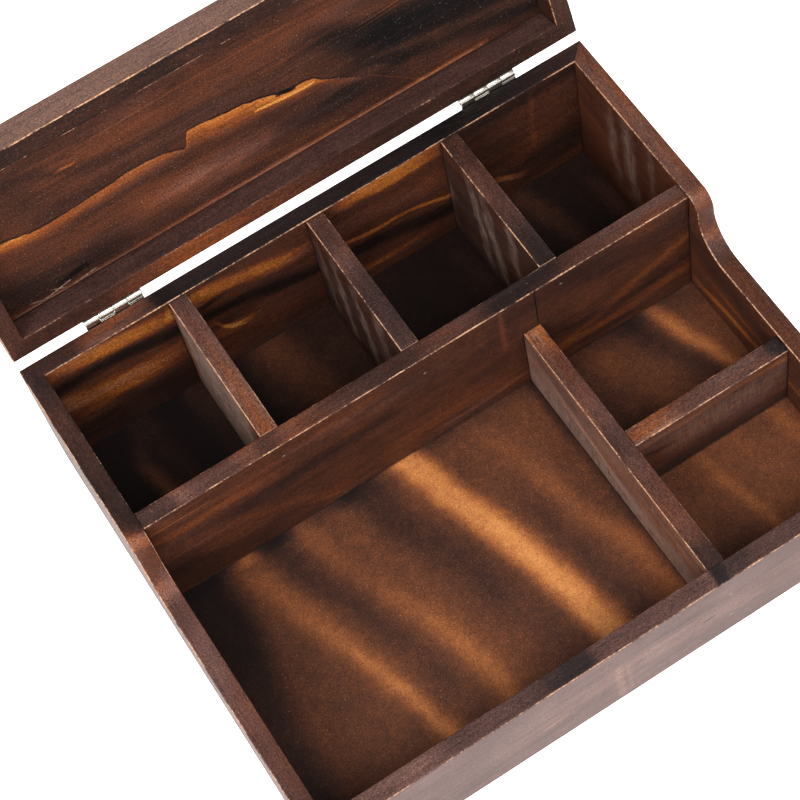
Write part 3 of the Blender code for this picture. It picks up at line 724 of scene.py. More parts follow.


# Marks of the torch and brush on each board, with some painted sheen among the smudges: plane, width, core, depth of
# charring and points

BACK_MARKS = [
    ("xz", 7.5, 0.2, -0.40, [(-134, 80, 0.7), (-112, 77, 1), (-92, 74, 0.9), (-82, 72, 0.6)]),
    ("xz", 7, 0.1, 0.30, [(-143, 66, 0.7), (-112, 66, 1), (-80, 60, 1), (-45, 52, 1), (-10, 43, 0.8)]),
    ("xz", 11, 0.3, -0.32, [(-142, 52, 0.8), (-120, 47, 1), (-96, 42, 1), (-82, 42, 0.5)]),
    ("xz", 4, 0.3, -0.16, [(-140, 40, 0.3), (-128, 37, 1), (-112, 38, 0.7), (-100, 33, 0.2)]),
    ("xz", 13, 0.3, 0.16, [(-142, 20, 1), (-110, 18, 1), (-82, 18, 1)]),
    ("xz", 9, 0.2, -0.40, [(-70, 74, 1), (-52, 72, 0.8), (-32, 67, 1), (-14, 63, 0.6)]),
    ("xz", 3, 0.2, 0.22, [(-70, 62, 0.8), (-56, 66, 0.8), (-44, 64, 0.3)]),
    ("xz", 6, 0.5, -0.20, [(-64, 38, 0.8), (-54, 36, 1), (-44, 33, 0.4)]),
    ("xz", 3, 0.3, -0.36, [(-62, 47, 0.6), (-58, 40, 1), (-52, 36, 1), (-45, 35, 0.4)]),
    ("xz", 12, 0.2, -0.05, [(-62, 22, 1), (-30, 26, 1), (-8, 28, 1)]),
    ("xz", 8, 0.4, -0.44, [(22, 82, 0.8), (40, 79, 1), (58, 80, 0.8)]),
    ("xz", 12, 0.2, -0.10, [(12, 62, 1), (40, 58, 1), (66, 56, 1)]),
    ("xz", 2.4, 0.2, -0.38, [(10, 49, 0.7), (24, 46, 1), (44, 45, 0.9), (66, 38, 1)]),
    ("xz", 8, 0.2, 0.22, [(8, 40, 1), (34, 35, 1), (66, 28, 1)]),
    ("xz", 5, 0.0, -0.28, [(16, 20, 0.8), (30, 18, 1), (46, 19, 0.6)]),
    ("xz", 3.5, 0.4, -0.38, [(92, 28, 0.6), (98, 25, 1), (106, 20, 0.6)]),
    ("xz", 16, 0.2, 0.14, [(112, 20, 0.6), (126, 26, 1), (140, 30, 1)]),
    ("xz", 10, 0.1, 0.20, [(82, 78, 0.7), (108, 80, 1), (142, 80, 0.7)]),
    ("zx", 3, 0.0, -0.10, [(74, 118, 0.8), (40, 117, 0.8)]),
]
BACK_TOPS = [
    (-152, 0.16), (-128, 0.08), (-116, -0.16), (-88, -0.02), (-80, 0.34), (-68, 0.26), (-40, 0.26), (0, 0.28),
    (40, 0.32), (60, 0.34), (68, 0.40), (76, 0.38), (100, 0.38), (120, 0.30), (140, 0.20), (152, 0.12),
]
MIDDLE_MARKS = [
    ("xz", 6, 0.0, -0.16, [(-138, 63, 0.6), (-112, 63, 1), (-84, 61, 0.7)]),
    ("xz", 5, 0.0, -0.12, [(-132, 76, 0.7), (-110, 70, 0.8), (-70, 72, 0.8), (-30, 74, 0.5)]),
    ("xz", 9, 0.0, 0.14, [(-92, 50, 0.6), (-60, 52, 1), (-30, 54, 0.8)]),
    ("xz", 8, 0.0, -0.14, [(-142, 48, 0.9), (-118, 46, 0.6), (-96, 40, 0.6), (-76, 28, 0.7), (-60, 16, 0.7)]),
    ("xz", 14, 0.0, 0.12, [(-142, 30, 1), (-120, 24, 0.7), (-96, 14, 0.4)]),
    ("xz", 12, 0.0, -0.10, [(-30, 24, 0.6), (0, 26, 1), (40, 24, 1), (52, 26, 0.6)]),
    ("xz", 3, 0.0, -0.16, [(4, 16, 0.7), (24, 15, 1), (46, 18, 0.7)]),
    ("xz", 14, 0.2, 0.14, [(44, 76, 0.5), (80, 74, 1), (112, 68, 1), (132, 66, 0.6)]),
    ("xz", 6.5, 0.0, -0.19, [(72, 22, 0.5), (92, 30, 0.8), (118, 42, 0.9), (141, 50, 1)]),
    ("xz", 6, 0.0, -0.22, [(66, 22, 0.6), (90, 20, 1), (120, 22, 0.8), (141, 24, 0.8)]),
    ("xz", 4, 0.0, 0.16, [(70, 36, 0.6), (100, 30, 0.6), (141, 34, 0.8)]),
    ("zx", 2.6, 0.0, -0.16, [(78, 41, 0.8), (66, 41, 1), (52, 41, 0.8)]),
    ("zx", 0.45, 0.3, 0.40, [(82, 59.5, 1), (55, 59.5, 1)]),
    ("xz", 0.35, 0.3, -0.34, [(-142, 73.8, 1), (-128, 73.4, 1), (-112, 73.2, 0.8)]),
    ("xz", 0.3, 0.3, -0.16, [(-122, 37, 0.8), (-92, 30, 1), (-68, 19, 1), (-44, 10, 1)]),
]
MIDDLE_TOPS = [
    (-144, 0.08), (-128, 0.02), (-122, -0.18), (-114, -0.06), (-100, 0.0), (-86, -0.12), (-78, 0.04),
    (-66, -0.18), (-56, -0.10), (-40, 0.06), (-6, 0.08), (10, -0.06), (30, 0.02), (46, 0.24), (70, 0.22),
    (80, 0.04), (110, -0.08), (144, -0.04),
]
FRONT_MARKS = [
    ("xz", 16, 0.2, -0.10, [(-60, 30, 0.4), (0, 30, 0.9), (60, 26, 0.8), (120, 30, 0.6)]),
    ("zx", 3.4, 0.2, -0.13, [(30, -2.5, 1), (18, -2, 1), (8, -1.5, 0.8)]),
    ("zx", 2.2, 0.0, -0.09, [(30, 2.6, 1), (8, 3.4, 0.8)]),
    ("xz", 0.4, 0.2, -0.34, [(-42, 20.2, 0.8), (-36, 20.8, 1), (-30, 21.6, 0.8)]),
    ("xz", 1.3, 0.4, 0.40, [(44.6, 26, 0.9), (45.4, 26, 0.9)]),
    ("xz", 0.6, 0.0, 0.22, [(-110, 40, 1), (-50, 38, 0.6), (0, 41, 1), (60, 38, 0.8), (100, 40, 0.8)]),
    ("xz", 0.7, 0.0, 0.20, [(-100, 22, 1), (-70, 20, 1), (-50, 21, 0.4)]),
    ("xz", 0.5, 0.0, 0.20, [(40, 32, 0.4), (70, 34, 1), (100, 31, 0.8)]),
]
FRONT_TOPS = [
    (-152, 0.04), (-120, -0.06), (-92, -0.04), (-80, 0.06), (-58, 0.04), (-40, 0.10), (-30, 0.24), (-14, 0.26),
    (-8, 0.06), (20, 0.02), (46, 0.00), (50, -0.06), (53, 0.34), (57, 0.28), (59, 0.16), (66, 0.16),
    (72, 0.06), (100, 0.02), (152, 0.04),
]
SIDE_MARKS = {
    "left": [("yz", 16, 0.2, -0.06, [(20, 30, 0.8), (90, 30, 1)])],
    "right": [
        ("yz", 4.4, 0.2, -0.28, [(140, 15, 0.8), (124, 18, 1), (104, 20, 1), (90, 22, 0.7)]),
        ("yz", 3, 0.0, -0.16, [(130, 30, 0.6), (112, 30, 0.9), (96, 30, 0.6)]),
        ("yz", 12, 0.2, 0.12, [(146, 48, 1), (120, 44, 1), (92, 44, 0.8)]),
        ("yz", 5, 0.0, -0.20, [(74, 24, 0.8), (50, 26, 0.8)]),
    ],
}
SIDE_TOPS = {
    "left": [
        (-4, 0.18), (10, 0.04), (60, -0.06), (100, -0.06), (124, 0.0), (134, -0.16), (140, 0.02), (146, -0.20),
        (150, 0.0), (158, 0.22), (190, 0.16), (220, 0.14), (252, 0.18),
    ],
    "right": [
        (-4, -0.04), (60, -0.04), (90, 0.02), (112, 0.0), (122, 0.0), (128, 0.04), (134, 0.02), (138, -0.12),
        (142, -0.36), (145, -0.16), (149, -0.22), (153, -0.06), (166, -0.08), (200, -0.14), (232, -0.16), (252, -0.06),
    ],
}
# Pale dry smudges, whose depth is their strength; the widest bands on the left rear divider and the long divider are
# painted sheen
SIDE_SMUDGES = {
    "left": (),
    "right": [
        ("zy", 6.2, 0.0, 0.38, [(72, 214, 0.5), (56, 213, 1), (30, 211, 0.6)]),
        ("zy", 7.6, 0.0, 0.44, [(82, 200, 0.4), (56, 199, 1), (26, 196, 0.7)]),
        ("zy", 5, 0.0, 0.22, [(78, 181, 0.8), (52, 180, 0.8)]),
    ],
}
DIVIDER_SMUDGES_AND_SHEEN = {
    "left": [
        ("zy", 12, 0.2, 0.36, [(78, 212, 0.9), (56, 210, 1), (26, 207, 0.9)]),
        ("zy", 7, 0.2, 0.30, [(70, 233, 0.8), (44, 231, 1), (14, 229, 0.9)]),
        ("zy", 7, 0.0, 0.30, [(82, 186, 0.9), (64, 184, 0.8)]),
        # painted sheen: a wide pale band over the divider's faces
        ("zy", 40, 0.7, 0.62, [(84, 205, 1), (10, 205, 1)]),
    ],
    "centre": [
        ("zy", 5.4, 0.2, 0.44, [(74, 222, 0.5), (46, 219, 1), (22, 217, 0.8)]),
        ("zy", 6.0, 0.2, 0.44, [(72, 204, 0.5), (46, 199, 1), (22, 196, 0.8)]),
        ("zy", 7, 0.1, 0.34, [(82, 183, 1), (54, 180, 0.8)]),
        ("zy", 4.6, 0.0, 0.26, [(64, 236, 0.7), (24, 233, 0.9)]),
    ],
    "right": [
        ("zy", 6.4, 0.1, 0.58, [(74, 219, 0.6), (50, 215, 1), (26, 211, 0.8)]),
        ("zy", 7.4, 0.1, 0.58, [(74, 207, 0.5), (50, 203, 1), (28, 198, 0.8)]),
        ("zy", 6.0, 0.1, 0.40, [(84, 185, 1), (52, 182, 0.8)]),
        ("zy", 4.6, 0.0, 0.30, [(44, 243, 0.8), (22, 242, 0.8)]),
    ],
}
LONG_SMUDGES_AND_SHEEN = [
    # painted sheen: a wide pale band along the middle of the face
    ("yz", 30, 0.5, 0.18, [(150, 30, 0.5), (110, 28, 0.7), (60, 30, 1), (0, 30, 1)]),
    ("yz", 11, 0.2, 0.45, [(142, 20, 0.8), (90, 18, 1), (50, 16, 0.8), (10, 16, 0.6)]),
    ("yz", 0.7, 0.3, 0.70, [(146, 11.4, 0.6), (90, 11, 1), (8, 11, 1)]),
    ("zy", 0.7, 0.3, 0.60, [(45, 77, 1), (42, 77, 1)]),
    ("zy", 0.6, 0.3, 0.50, [(44, 47, 1), (41.5, 46.6, 1)]),
    ("yz", 0.5, 0.3, 0.70, [(143, 51.6, 0.7), (120, 51.9, 1), (102, 51.8, 0.8)]),
]
CROSS_SMUDGES = [("xz", 14, 0.3, 0.22, [(86, 34, 0.8), (112, 34, 1), (134, 34, 0.8)])]
DIVIDER_TOPS = {
    "left": [(158, -0.02), (180, -0.06), (200, -0.02), (230, 0.04), (244, 0.20)],
    "centre": [(158, -0.02), (176, 0.04), (200, 0.06), (216, -0.14), (228, -0.02), (244, -0.10)],
    "right": [(158, 0.22), (172, 0.18), (190, -0.02), (212, -0.08), (228, 0.0), (244, 0.04)],
}
LONG_MARKS = [
    ("yz", 9, 0.2, 0.14, [(142, 44, 0.9), (120, 43, 1), (104, 44, 0.7)]),
    ("yz", 4.6, 0.1, -0.20, [(128, 34, 0.5), (100, 30, 1), (76, 25, 0.9), (50, 21, 0.4)]),
    ("yz", 4.6, 0.1, 0.14, [(120, 22, 0.5), (90, 20, 1), (66, 17, 0.6)]),
    ("yz", 6, 0.1, 0.12, [(60, 46, 0.5), (30, 44, 1), (10, 44, 1)]),
    ("yz", 5, 0.2, 0.10, [(140, 16, 0.8), (90, 14, 0.9), (40, 14, 0.6)]),
]
LONG_TOPS = [
    (4, 0.42), (12, 0.40), (22, 0.20), (40, 0.18), (66, 0.20), (76, 0.26), (84, 0.24), (94, 0.14),
    (130, 0.12), (141, -0.04), (150, -0.10),
]
CROSS_MARKS = [
    ("xz", 4, 0.1, -0.16, [(66, 46, 0.6), (96, 47, 0.9), (130, 48, 0.9), (142, 46, 1)]),
    ("xz", 8, 0.1, -0.08, [(84, 32, 0.8), (110, 34, 1), (134, 34, 0.7)]),
    ("xz", 3, 0.0, 0.20, [(64, 38, 1), (74, 35, 1), (82, 33, 0.5)]),
    ("xz", 9, 0.2, 0.16, [(66, 12, 1), (100, 12, 1), (142, 14, 1)]),
]
CROSS_TOPS = [(60, 0.08), (66, -0.12), (80, -0.14), (90, 0.04), (120, 0.02), (134, 0.10), (138, 0.32), (144, 0.36)]


def build_outer_boards():
    width = 2 * OUTER_X
    depth = BACK_Y - FRONT_Y
    finish = torched_wood("front_board_wood", "x", 0.51, FRONT_MARKS, 1.3, 0.5, 0.85, FRONT_TOPS)
    place = lay((0, FRONT_Y, 0), (1, 0, 0), (0, 1, 0))
    sweep("front_board", grooved(FRONT_HEIGHT), width, place, finish, "base", 11, mitred=True)
    finish = torched_wood("back_board_wood", "x", 0.58, BACK_MARKS, 2.1, 0.6, 0.30, BACK_TOPS)
    place = lay((0, BACK_Y, 0), (-1, 0, 0), (0, -1, 0))
    sweep("back_board", grooved(BACK_HEIGHT), width, place, finish, "base", 23, mitred=True)
    fine = (CURVE_START - MIDDLE_Y, CURVE_END - MIDDLE_Y)
    for where, hand, seed in (("left", -1, 3.2), ("right", 1, 4.4)):
        name = where + "_side"
        finish = torched_wood(
            name + "_wood", "y", 0.54, SIDE_MARKS[where], seed, 0.6, 0.26, SIDE_TOPS[where], SIDE_SMUDGES[where]
        )
        place = lay((hand * OUTER_X, MIDDLE_Y, 0), (0, 1, 0), (-hand, 0, 0))
        section = grooved(BACK_HEIGHT)
        sweep(name, section, depth, place, finish, "base", 31 + hand, True, side_shape, fine)


def divider(name, along_axis, finish, seed):
    """A square-ended divider that fills its CAD node's box, but for its gaps."""
    corner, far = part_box(name)
    corner = Vector((corner.x, corner.y, FLOOR_TOP + FOOT_GAP))
    size = far - corner
    grow = 0.2 * MM
    if along_axis == "x":
        length = size.x + 2 * grow
        place = lay((corner.x + size.x / 2, corner.y, corner.z), (1, 0, 0), (0, 1, 0))
        section = plain(size.y, size.z)
    else:
        length = size.y + 2 * grow
        place = lay((far.x, corner.y + size.y / 2, corner.z), (0, 1, 0), (-1, 0, 0))
        section = plain(size.x, size.z)
    return sweep(name, section, length, place, finish, "base", seed)


def build_dividers():
    finish = torched_wood("middle_board_wood", "x", 0.58, MIDDLE_MARKS, 5.7, 0.60, 0.30, MIDDLE_TOPS)
    divider("middle_board", "x", finish, 41)
    looks = {"left": (0.42, 0.9), "centre": (0.62, 0.7), "right": (0.62, 0.7)}
    for number, (where, smudges_and_sheen) in enumerate(DIVIDER_SMUDGES_AND_SHEEN.items()):
        char, wear = looks[where]
        tops = DIVIDER_TOPS[where]
        finish = torched_wood(
            f"rear_divider_{where}_wood", "y", char, (), 6.1 + number, wear, 0.5, tops, smudges_and_sheen, top_ash=0.08
        )
        divider("rear_divider_" + where, "y", finish, 47 + number)
    finish = torched_wood("long_divider_wood", "y", 0.33, LONG_MARKS, 9.4, 0.62, 0.6, LONG_TOPS, LONG_SMUDGES_AND_SHEEN, top_ash=-0.1)
    divider("tray_divider_long", "y", finish, 53)
    finish = torched_wood("cross_divider_wood", "x", 0.47, CROSS_MARKS, 10.6, 0.62, 0.5, CROSS_TOPS, CROSS_SMUDGES, top_ash=0.0)
    divider("tray_divider_cross", "x", finish, 59)


def build_floor():
    corner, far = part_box("floor_panel")
    size = far - corner
    place = lay((corner.x + size.x / 2, corner.y, corner.z), (1, 0, 0), (0, 1, 0))
    made = sweep(
        "floor_panel", plain(size.y, size.z, 0.2 * MM), size.x, place, hardboard("hardboard"), "base", 61
    )


# Lid

SAP_UPPER = [
    (-128.5, -51.9), (-111, -48.9), (-81, -49.9), (-63.5, -51.1), (-51, -50.6), (-43.5, -48.6), (-37, -47.4),
    (-35, -53.2), (-31, -54.4), (-18.5, -52.6), (-1, -50.6), (14, -46.1), (29, -44.4), (33, -41.4),
    (41.5, -36.9), (54, -30.1), (90, -20),
]
SAP_LOWER = [
    (-128.5, -46), (-111, -43.6), (-81, -44.6), (-63.5, -45.6), (-43.5, -46), (-35, -46.4), (-18.5, -44),
    (14, -41.4), (29, -40.4), (41.5, -35), (54, -29), (90, -18),
]
SAP_STRENGTH = [
    (-160, 0.9), (-126, 0.95), (-112, 0.75), (-80, 0.66), (-60, 0.68), (-40, 0.66), (-33, 0.8), (-18, 0.95),
    (14, 1.0), (30, 0.85), (38, 0.5), (50, 0.25), (58, 0.0), (160, 0.0),
]
PANEL_MARKS = [
    ("xy", 0.9, 0.3, -0.40, [(0, -44.6, 0.8), (16, -43.0, 1), (27, -42.4, 0.9)]),
    ("xy", 1.3, 0.4, 0.80, [(12.5, -46.3, 1), (17, -45.4, 1)]),
    ("xy", 6, 0.0, -0.10, [(20, -40, 0.6), (40, -33, 1), (52, -28, 0.8)]),
    ("xy", 16, 0.1, 0.16, [(-140, -22, 1), (-110, -20, 1), (-90, -22, 0.6)]),
    ("xy", 14, 0.0, 0.14, [(10, -27, 0.5), (30, -26, 1), (60, -24, 1)]),
    ("xy", 11, 0.0, -0.17, [(-60, -30, 0.6), (-30, -30, 1), (-10, -31, 0.5)]),
    ("xy", 14, 0.2, 0.36, [(34, -62, 0.3), (60, -50, 0.9), (100, -40, 1), (150, -34, 1)]),
    ("xy", 7, 0.1, 0.20, [(52, -40, 0.6), (70, -30, 1), (100, -24, 1), (140, -16, 1)]),
    ("xy", 0.5, 0.2, -0.16, [(54, -30, 1), (64, -23, 1), (77, -13, 1)]),
    ("xy", 2, 0.0, -0.30, [(-140, -13, 0.5), (-60, -13, 0.8), (0, -13, 1), (110, -13, 0.9)]),
    ("xy", 0.4, 0.2, -0.13, [(-86, -76.3, 0.8), (-40, -77.2, 1), (32, -77.2, 0.8)]),
    ("xy", 0.4, 0.2, -0.25, [(54, -57, 0.8), (68, -57.6, 1), (82, -58.5, 0.8)]),
    ("xy", 0.35, 0.2, -0.25, [(56, -55, 0.8), (68, -55.6, 1), (80, -56.6, 0.8)]),
    ("xy", 0.35, 0.2, -0.18, [(60, -53, 0.8), (76, -54, 0.8)]),
    ("xy", 1.2, 0.0, -0.34, [(-92, -70.4, 0.9), (-87, -70, 0.9)]),
    ("xy", 16, 0.0, -0.09, [(-100, -70, 0.5), (-40, -70, 1), (10, -72, 1), (60, -78, 0.8)]),
    ("xy", 12, 0.0, -0.06, [(-100, -32, 1), (-40, -30, 1), (0, -20, 0.5)]),
    ("xy", 6, 0.0, 0.12, [(-110, -78, 0.8), (-70, -62, 0.8), (-30, -61, 0.8)]),
    ("xy", 2.4, 0.2, 0.24, [(-112, -17, 0.9), (-104, -18.5, 0.9)]),
]
PANEL_SMUDGES = [
    ("xy", 0.4, 0.4, 0.80, [(-126, -13, 0.8), (-112, -15.5, 0.8)]),
    ("xy", 0.35, 0.4, 0.70, [(-121, -16, 0.8), (-113, -12.5, 0.8)]),
    ("xy", 0.4, 0.4, 0.70, [(-110, -12.6, 0.8), (-99, -14, 0.8)]),
    ("xy", 0.35, 0.4, 0.70, [(-132, -15, 0.6), (-126, -13, 0.8)]),
    ("xy", 0.5, 0.3, 0.42, [(-140, -12.6, 0.7), (-60, -12.6, 0.5), (0, -12.6, 0.9), (110, -12.6, 0.9)]),
    ("xy", 0.4, 0.3, 0.30, [(60, -74, 0.8), (96, -70, 0.8)]),
]


# The lid's rails: depth of charring, ash, wear, ash added along the rim, and depth added along it. The front rail's
# full ash is partly painted sheen on its outer face, which faces up when the lid is open.
RAIL_LOOKS = {
    "lid_front_rail": (0.27, 1.0, 0.85, -1.0, [(-152, 0.50), (152, 0.48)]),
    "lid_rear_rail": (
        0.56, 0.8, 0.1, -0.75,
        [(-152, 0.10), (-110, 0.11), (-76, -0.12), (-50, -0.18), (-22, -0.02), (0, 0.05), (35, 0.18), (152, 0.14)],
    ),
    "lid_left_rail": (0.62, 0.4, 0.4, -0.1, ()),
    "lid_right_rail": (0.66, 0.4, 0.4, -0.1, ()),
}


def height_over(g, axes, outline):
    """How far a point lies beyond an outline y = f(x), both given in millimetres."""
    line = spread(g, axes[0], (-160, 160), [(x, y / REACH) for x, y in outline])
    return g.math("SUBTRACT", axes[1], g.math("MULTIPLY", line, REACH * MM))


def sapwood(g, place, drift, depth):
    """The panel's streak of pale sapwood: sharp along its upper edge, soft below."""
    split = g.tree.nodes.new("ShaderNodeSeparateXYZ")
    g.feed(split.inputs[0], place)
    axes = split.outputs
    wobble = g.noise(g.vector("MULTIPLY", place, (0.3, 1.0, 1.0)), 1000 / 2.5, 2.0, 0.6)
    wobble = g.math("MULTIPLY", g.math("SUBTRACT", wobble, 0.5), 0.0018)
    above = g.math("ADD", height_over(g, axes, SAP_UPPER), wobble)
    below = g.math("ADD", height_over(g, axes, SAP_LOWER), wobble)
    inside = g.math("MULTIPLY", g.smooth(above, 0.0, 0.0004), g.smooth(below, -0.003, 0.004, 1.0, 0.0))
    inside = g.math("MULTIPLY", inside, g.smooth(above, 0.0005, 0.006, 1.0, 0.55))
    rim = g.math("MULTIPLY", g.smooth(above, -0.0014, -0.0002), g.smooth(above, 0.0, 0.0003, 1.0, 0.0))
    strength = spread(g, axes[0], (-160, 160), SAP_STRENGTH)
    depth = g.math("MULTIPLY_ADD", g.math("MULTIPLY", inside, strength), -0.52, depth)
    depth = g.math("MULTIPLY_ADD", g.math("MULTIPLY", rim, strength), 0.18, depth)
    dull_share = g.math("MULTIPLY_ADD", g.math("MULTIPLY", inside, strength), -0.85, 1.0)
    return add_bands(g, place, drift, depth, PANEL_MARKS), dull_share


def build_lid():
    """Four mitred rails with a rebate for the panel, and the panel."""
    rail_low, rail_high = local_box("lid_front_rail", LID_PLACE)
    rear_low, rear_high = local_box("lid_rear_rail", LID_PLACE)
    panel_low, panel_high = local_box("lid_panel", LID_PLACE)
    rim = rail_low.z
    height = rail_high.z - rim
    front = rail_low.y
    rear = rear_high.y
    ledge = panel_low.z - 0.1 * MM - rim
    step = panel_low.y - front - 0.1 * MM
    section = [
        (0, 0, ARRIS),
        (BOARD, 0, ARRIS),
        (BOARD, ledge, 0.3 * MM),
        (step, ledge, 0),
        (step, height, 0.3 * MM),
        (0, height, ARRIS),
    ]
    middle = (front + rear) / 2
    rails = [
        ("lid_front_rail", 2 * OUTER_X, lay((0, front, rim), (1, 0, 0), (0, 1, 0)), "x"),
        ("lid_rear_rail", 2 * OUTER_X, lay((0, rear, rim), (-1, 0, 0), (0, -1, 0)), "x"),
        ("lid_left_rail", rear - front, lay((-OUTER_X, middle, rim), (0, -1, 0), (1, 0, 0)), "y"),
        ("lid_right_rail", rear - front, lay((OUTER_X, middle, rim), (0, 1, 0), (-1, 0, 0)), "y"),
    ]
    for number, (name, length, place, grain) in enumerate(rails):
        char, ash_and_sheen, wear, top_ash, tops = RAIL_LOOKS[name]
        finish = torched_wood(
            name + "_wood", grain, char, (), 12.3 + number, wear, ash_and_sheen, tops, flip=-1, shine=0.07, top_ash=top_ash
        )
        sweep(name, section, length, place, finish, "lid", 71 + number, mitred=True)
    size = panel_high - panel_low
    place = lay((panel_low.x + size.x / 2, panel_low.y, panel_low.z), (1, 0, 0), (0, 1, 0))
    finish = torched_wood("lid_panel_wood", "x", 0.63, (), 17.7, 0.2, 0.3, (), PANEL_SMUDGES, sapwood, 1, 0.06, 0.3)
    sweep("lid_panel", plain(size.y, size.z, 0.3 * MM), size.x, place, finish, "lid", 83)


# Hinges: a leaf is a plate with every second knuckle rolled round the pin

CURL_STEPS = 36
PLATE_NEAR = -BARREL_RADIUS
PLATE_FAR = PLATE_NEAR + LEAF_THICKNESS
ROLL_GAP = 0.1 * MM
NOTCH = math.sqrt(BARREL_RADIUS ** 2 - PLATE_FAR ** 2) + 0.3 * MM
NECK = NOTCH + 0.8 * MM
ROUND_STEPS = 32
SLIVER = 0.003 * MM


def knuckle_outline():
    """The (y, z) outline of a rolled knuckle and its neck, for a plate that hangs down."""
    bore = BARREL_RADIUS - LEAF_THICKNESS
    last = math.acos((PLATE_FAR + ROLL_GAP) / BARREL_RADIUS)
    angles = [math.pi - (math.pi + last) * step / CURL_STEPS for step in range(CURL_STEPS + 1)]
    outline = [(PLATE_NEAR, -NECK)]
    outline += [(BARREL_RADIUS * math.cos(angle), BARREL_RADIUS * math.sin(angle)) for angle in angles]
    outline += [(bore * math.cos(angle), bore * math.sin(angle)) for angle in reversed(angles)]
    return outline + [(PLATE_FAR, -NECK)]


def prism(outline, start, end, side):
    """A solid between two X places. side is -1 for an outline as given, and 1 for one turned upside down."""
    bm = bmesh.new()
    face = bm.faces.new([bm.verts.new((start, y, -side * z)) for y, z in outline])
    grown = bmesh.ops.extrude_face_region(bm, geom=[face])
    moved = [item for item in grown["geom"] if isinstance(item, bmesh.types.BMVert)]
    bmesh.ops.translate(bm, verts=moved, vec=(end - start, 0, 0))
    return solid(bm)


def solid(bm):
    """A temporary object that holds a closed shape."""
    bmesh.ops.recalc_face_normals(bm, faces=bm.faces)
    mesh = bpy.data.meshes.new("solid")
    bm.to_mesh(mesh)
    bm.free()
    made = bpy.data.objects.new("solid", mesh)
    bpy.context.scene.collection.objects.link(made)
    return made


def combined(made, others, operation, bevel=0.0):
    """The mesh of a solid joined with, or cut by, others. The temporary objects are removed."""
    for other in others:
        modifier = made.modifiers.new("combine", "BOOLEAN")
        modifier.operation = operation
        modifier.solver = "EXACT"
        modifier.object = other
    if bevel:
        modifier = made.modifiers.new("ease", "BEVEL")
        modifier.width = bevel
        modifier.segments = 2
        modifier.limit_method = "ANGLE"
        modifier.angle_limit = math.radians(50)
    mesh = bpy.data.meshes.new_from_object(made.evaluated_get(bpy.context.evaluated_depsgraph_get()))
    for old in [made, *others]:
        bpy.data.objects.remove(old)
    return mesh


def mended(mesh):
    """Merges the slivers and closes the pinholes that Booleans and bevels leave in a small part."""
    bm = bmesh.new()
    bm.from_mesh(mesh)
    bmesh.ops.remove_doubles(bm, verts=bm.verts, dist=SLIVER)
    bmesh.ops.dissolve_degenerate(bm, edges=bm.edges, dist=SLIVER)
    bmesh.ops.holes_fill(bm, edges=[edge for edge in bm.edges if edge.is_boundary], sides=8)
    bm.to_mesh(mesh)
    bm.free()
    return mesh


def turned(profile, steps=ROUND_STEPS):
    """Spins (radius, height) points about Z into a closed solid."""
    bm = bmesh.new()
    points = [bm.verts.new((radius, 0.0, height)) for radius, height in profile]
    edges = [bm.edges.new(pair) for pair in zip(points, points[1:])]
    full = 2 * math.pi
    bmesh.ops.spin(bm, geom=points + edges, cent=(0, 0, 0), axis=(0, 0, 1), angle=full, steps=steps)
    bmesh.ops.remove_doubles(bm, verts=bm.verts, dist=1e-7)
    return bm


def object_from(mesh):
    made = bpy.data.objects.new("solid", mesh)
    bpy.context.scene.collection.objects.link(made)
    return made


def leaf_mesh(side, first, screw_spots):
    """side is -1 for the base's leaf, which hangs down, and 1 for the lid's. screw_spots are (x, z) places."""
    half = HINGE_LENGTH / 2
    plate_outline = [(PLATE_NEAR, -LEAF_WIDTH), (PLATE_FAR, -LEAF_WIDTH), (PLATE_FAR, -NOTCH), (PLATE_NEAR, -NOTCH)]
    plate = prism(plate_outline, -half, half, side)
    pitch = HINGE_LENGTH / KNUCKLES
    knuckles = []
    for index in range(first, KNUCKLES, 2):
        start = -half + index * pitch + KNUCKLE_GAP / 2
        knuckles.append(prism(knuckle_outline(), start, start + pitch - KNUCKLE_GAP, side))
    leaf = object_from(mended(combined(plate, knuckles, "UNION", 0.1 * MM)))
    holes = []
    wide = SCREW_HEAD + 0.1 * MM
    narrow = 1.1 * MM
    profile = [(0, -2 * MM), (narrow, -2 * MM), (narrow, -SCREW_SINK), (wide, 0), (wide, 2 * MM), (0, 2 * MM)]
    for x, z in screw_spots:
        bm = turned(profile)
        bmesh.ops.transform(bm, matrix=Matrix.Rotation(-math.pi / 2, 4, "X"), verts=bm.verts)
        bmesh.ops.translate(bm, verts=bm.verts, vec=(x, PLATE_FAR, z))
        holes.append(solid(bm))
    return mended(combined(leaf, holes, "DIFFERENCE"))


def head_and_direction(node, matrix):
    """Where a brad's or screw's head lies, and the way it points, in the frame of a matrix."""
    inverse = matrix.inverted()
    points = [inverse @ vertex.co for vertex in frame["nodes"][node].data.vertices]
    corner, far = local_box(node, matrix)
    middle = (corner + far) / 2
    size = far - corner
    axis = max(range(3), key=lambda index: size[index])
    close = 0.01 * MM
    at_far = sum(far[axis] - point[axis] < close for point in points)
    at_low = sum(point[axis] - corner[axis] < close for point in points)
    head = middle.copy()
    head[axis] = far[axis] if at_far > at_low else corner[axis]
    direction = Vector((0, 0, 0))
    direction[axis] = -1.0 if at_far > at_low else 1.0
    return head, direction


def upright(direction):
    return direction.to_track_quat("-Z", "Y").to_matrix().to_4x4()


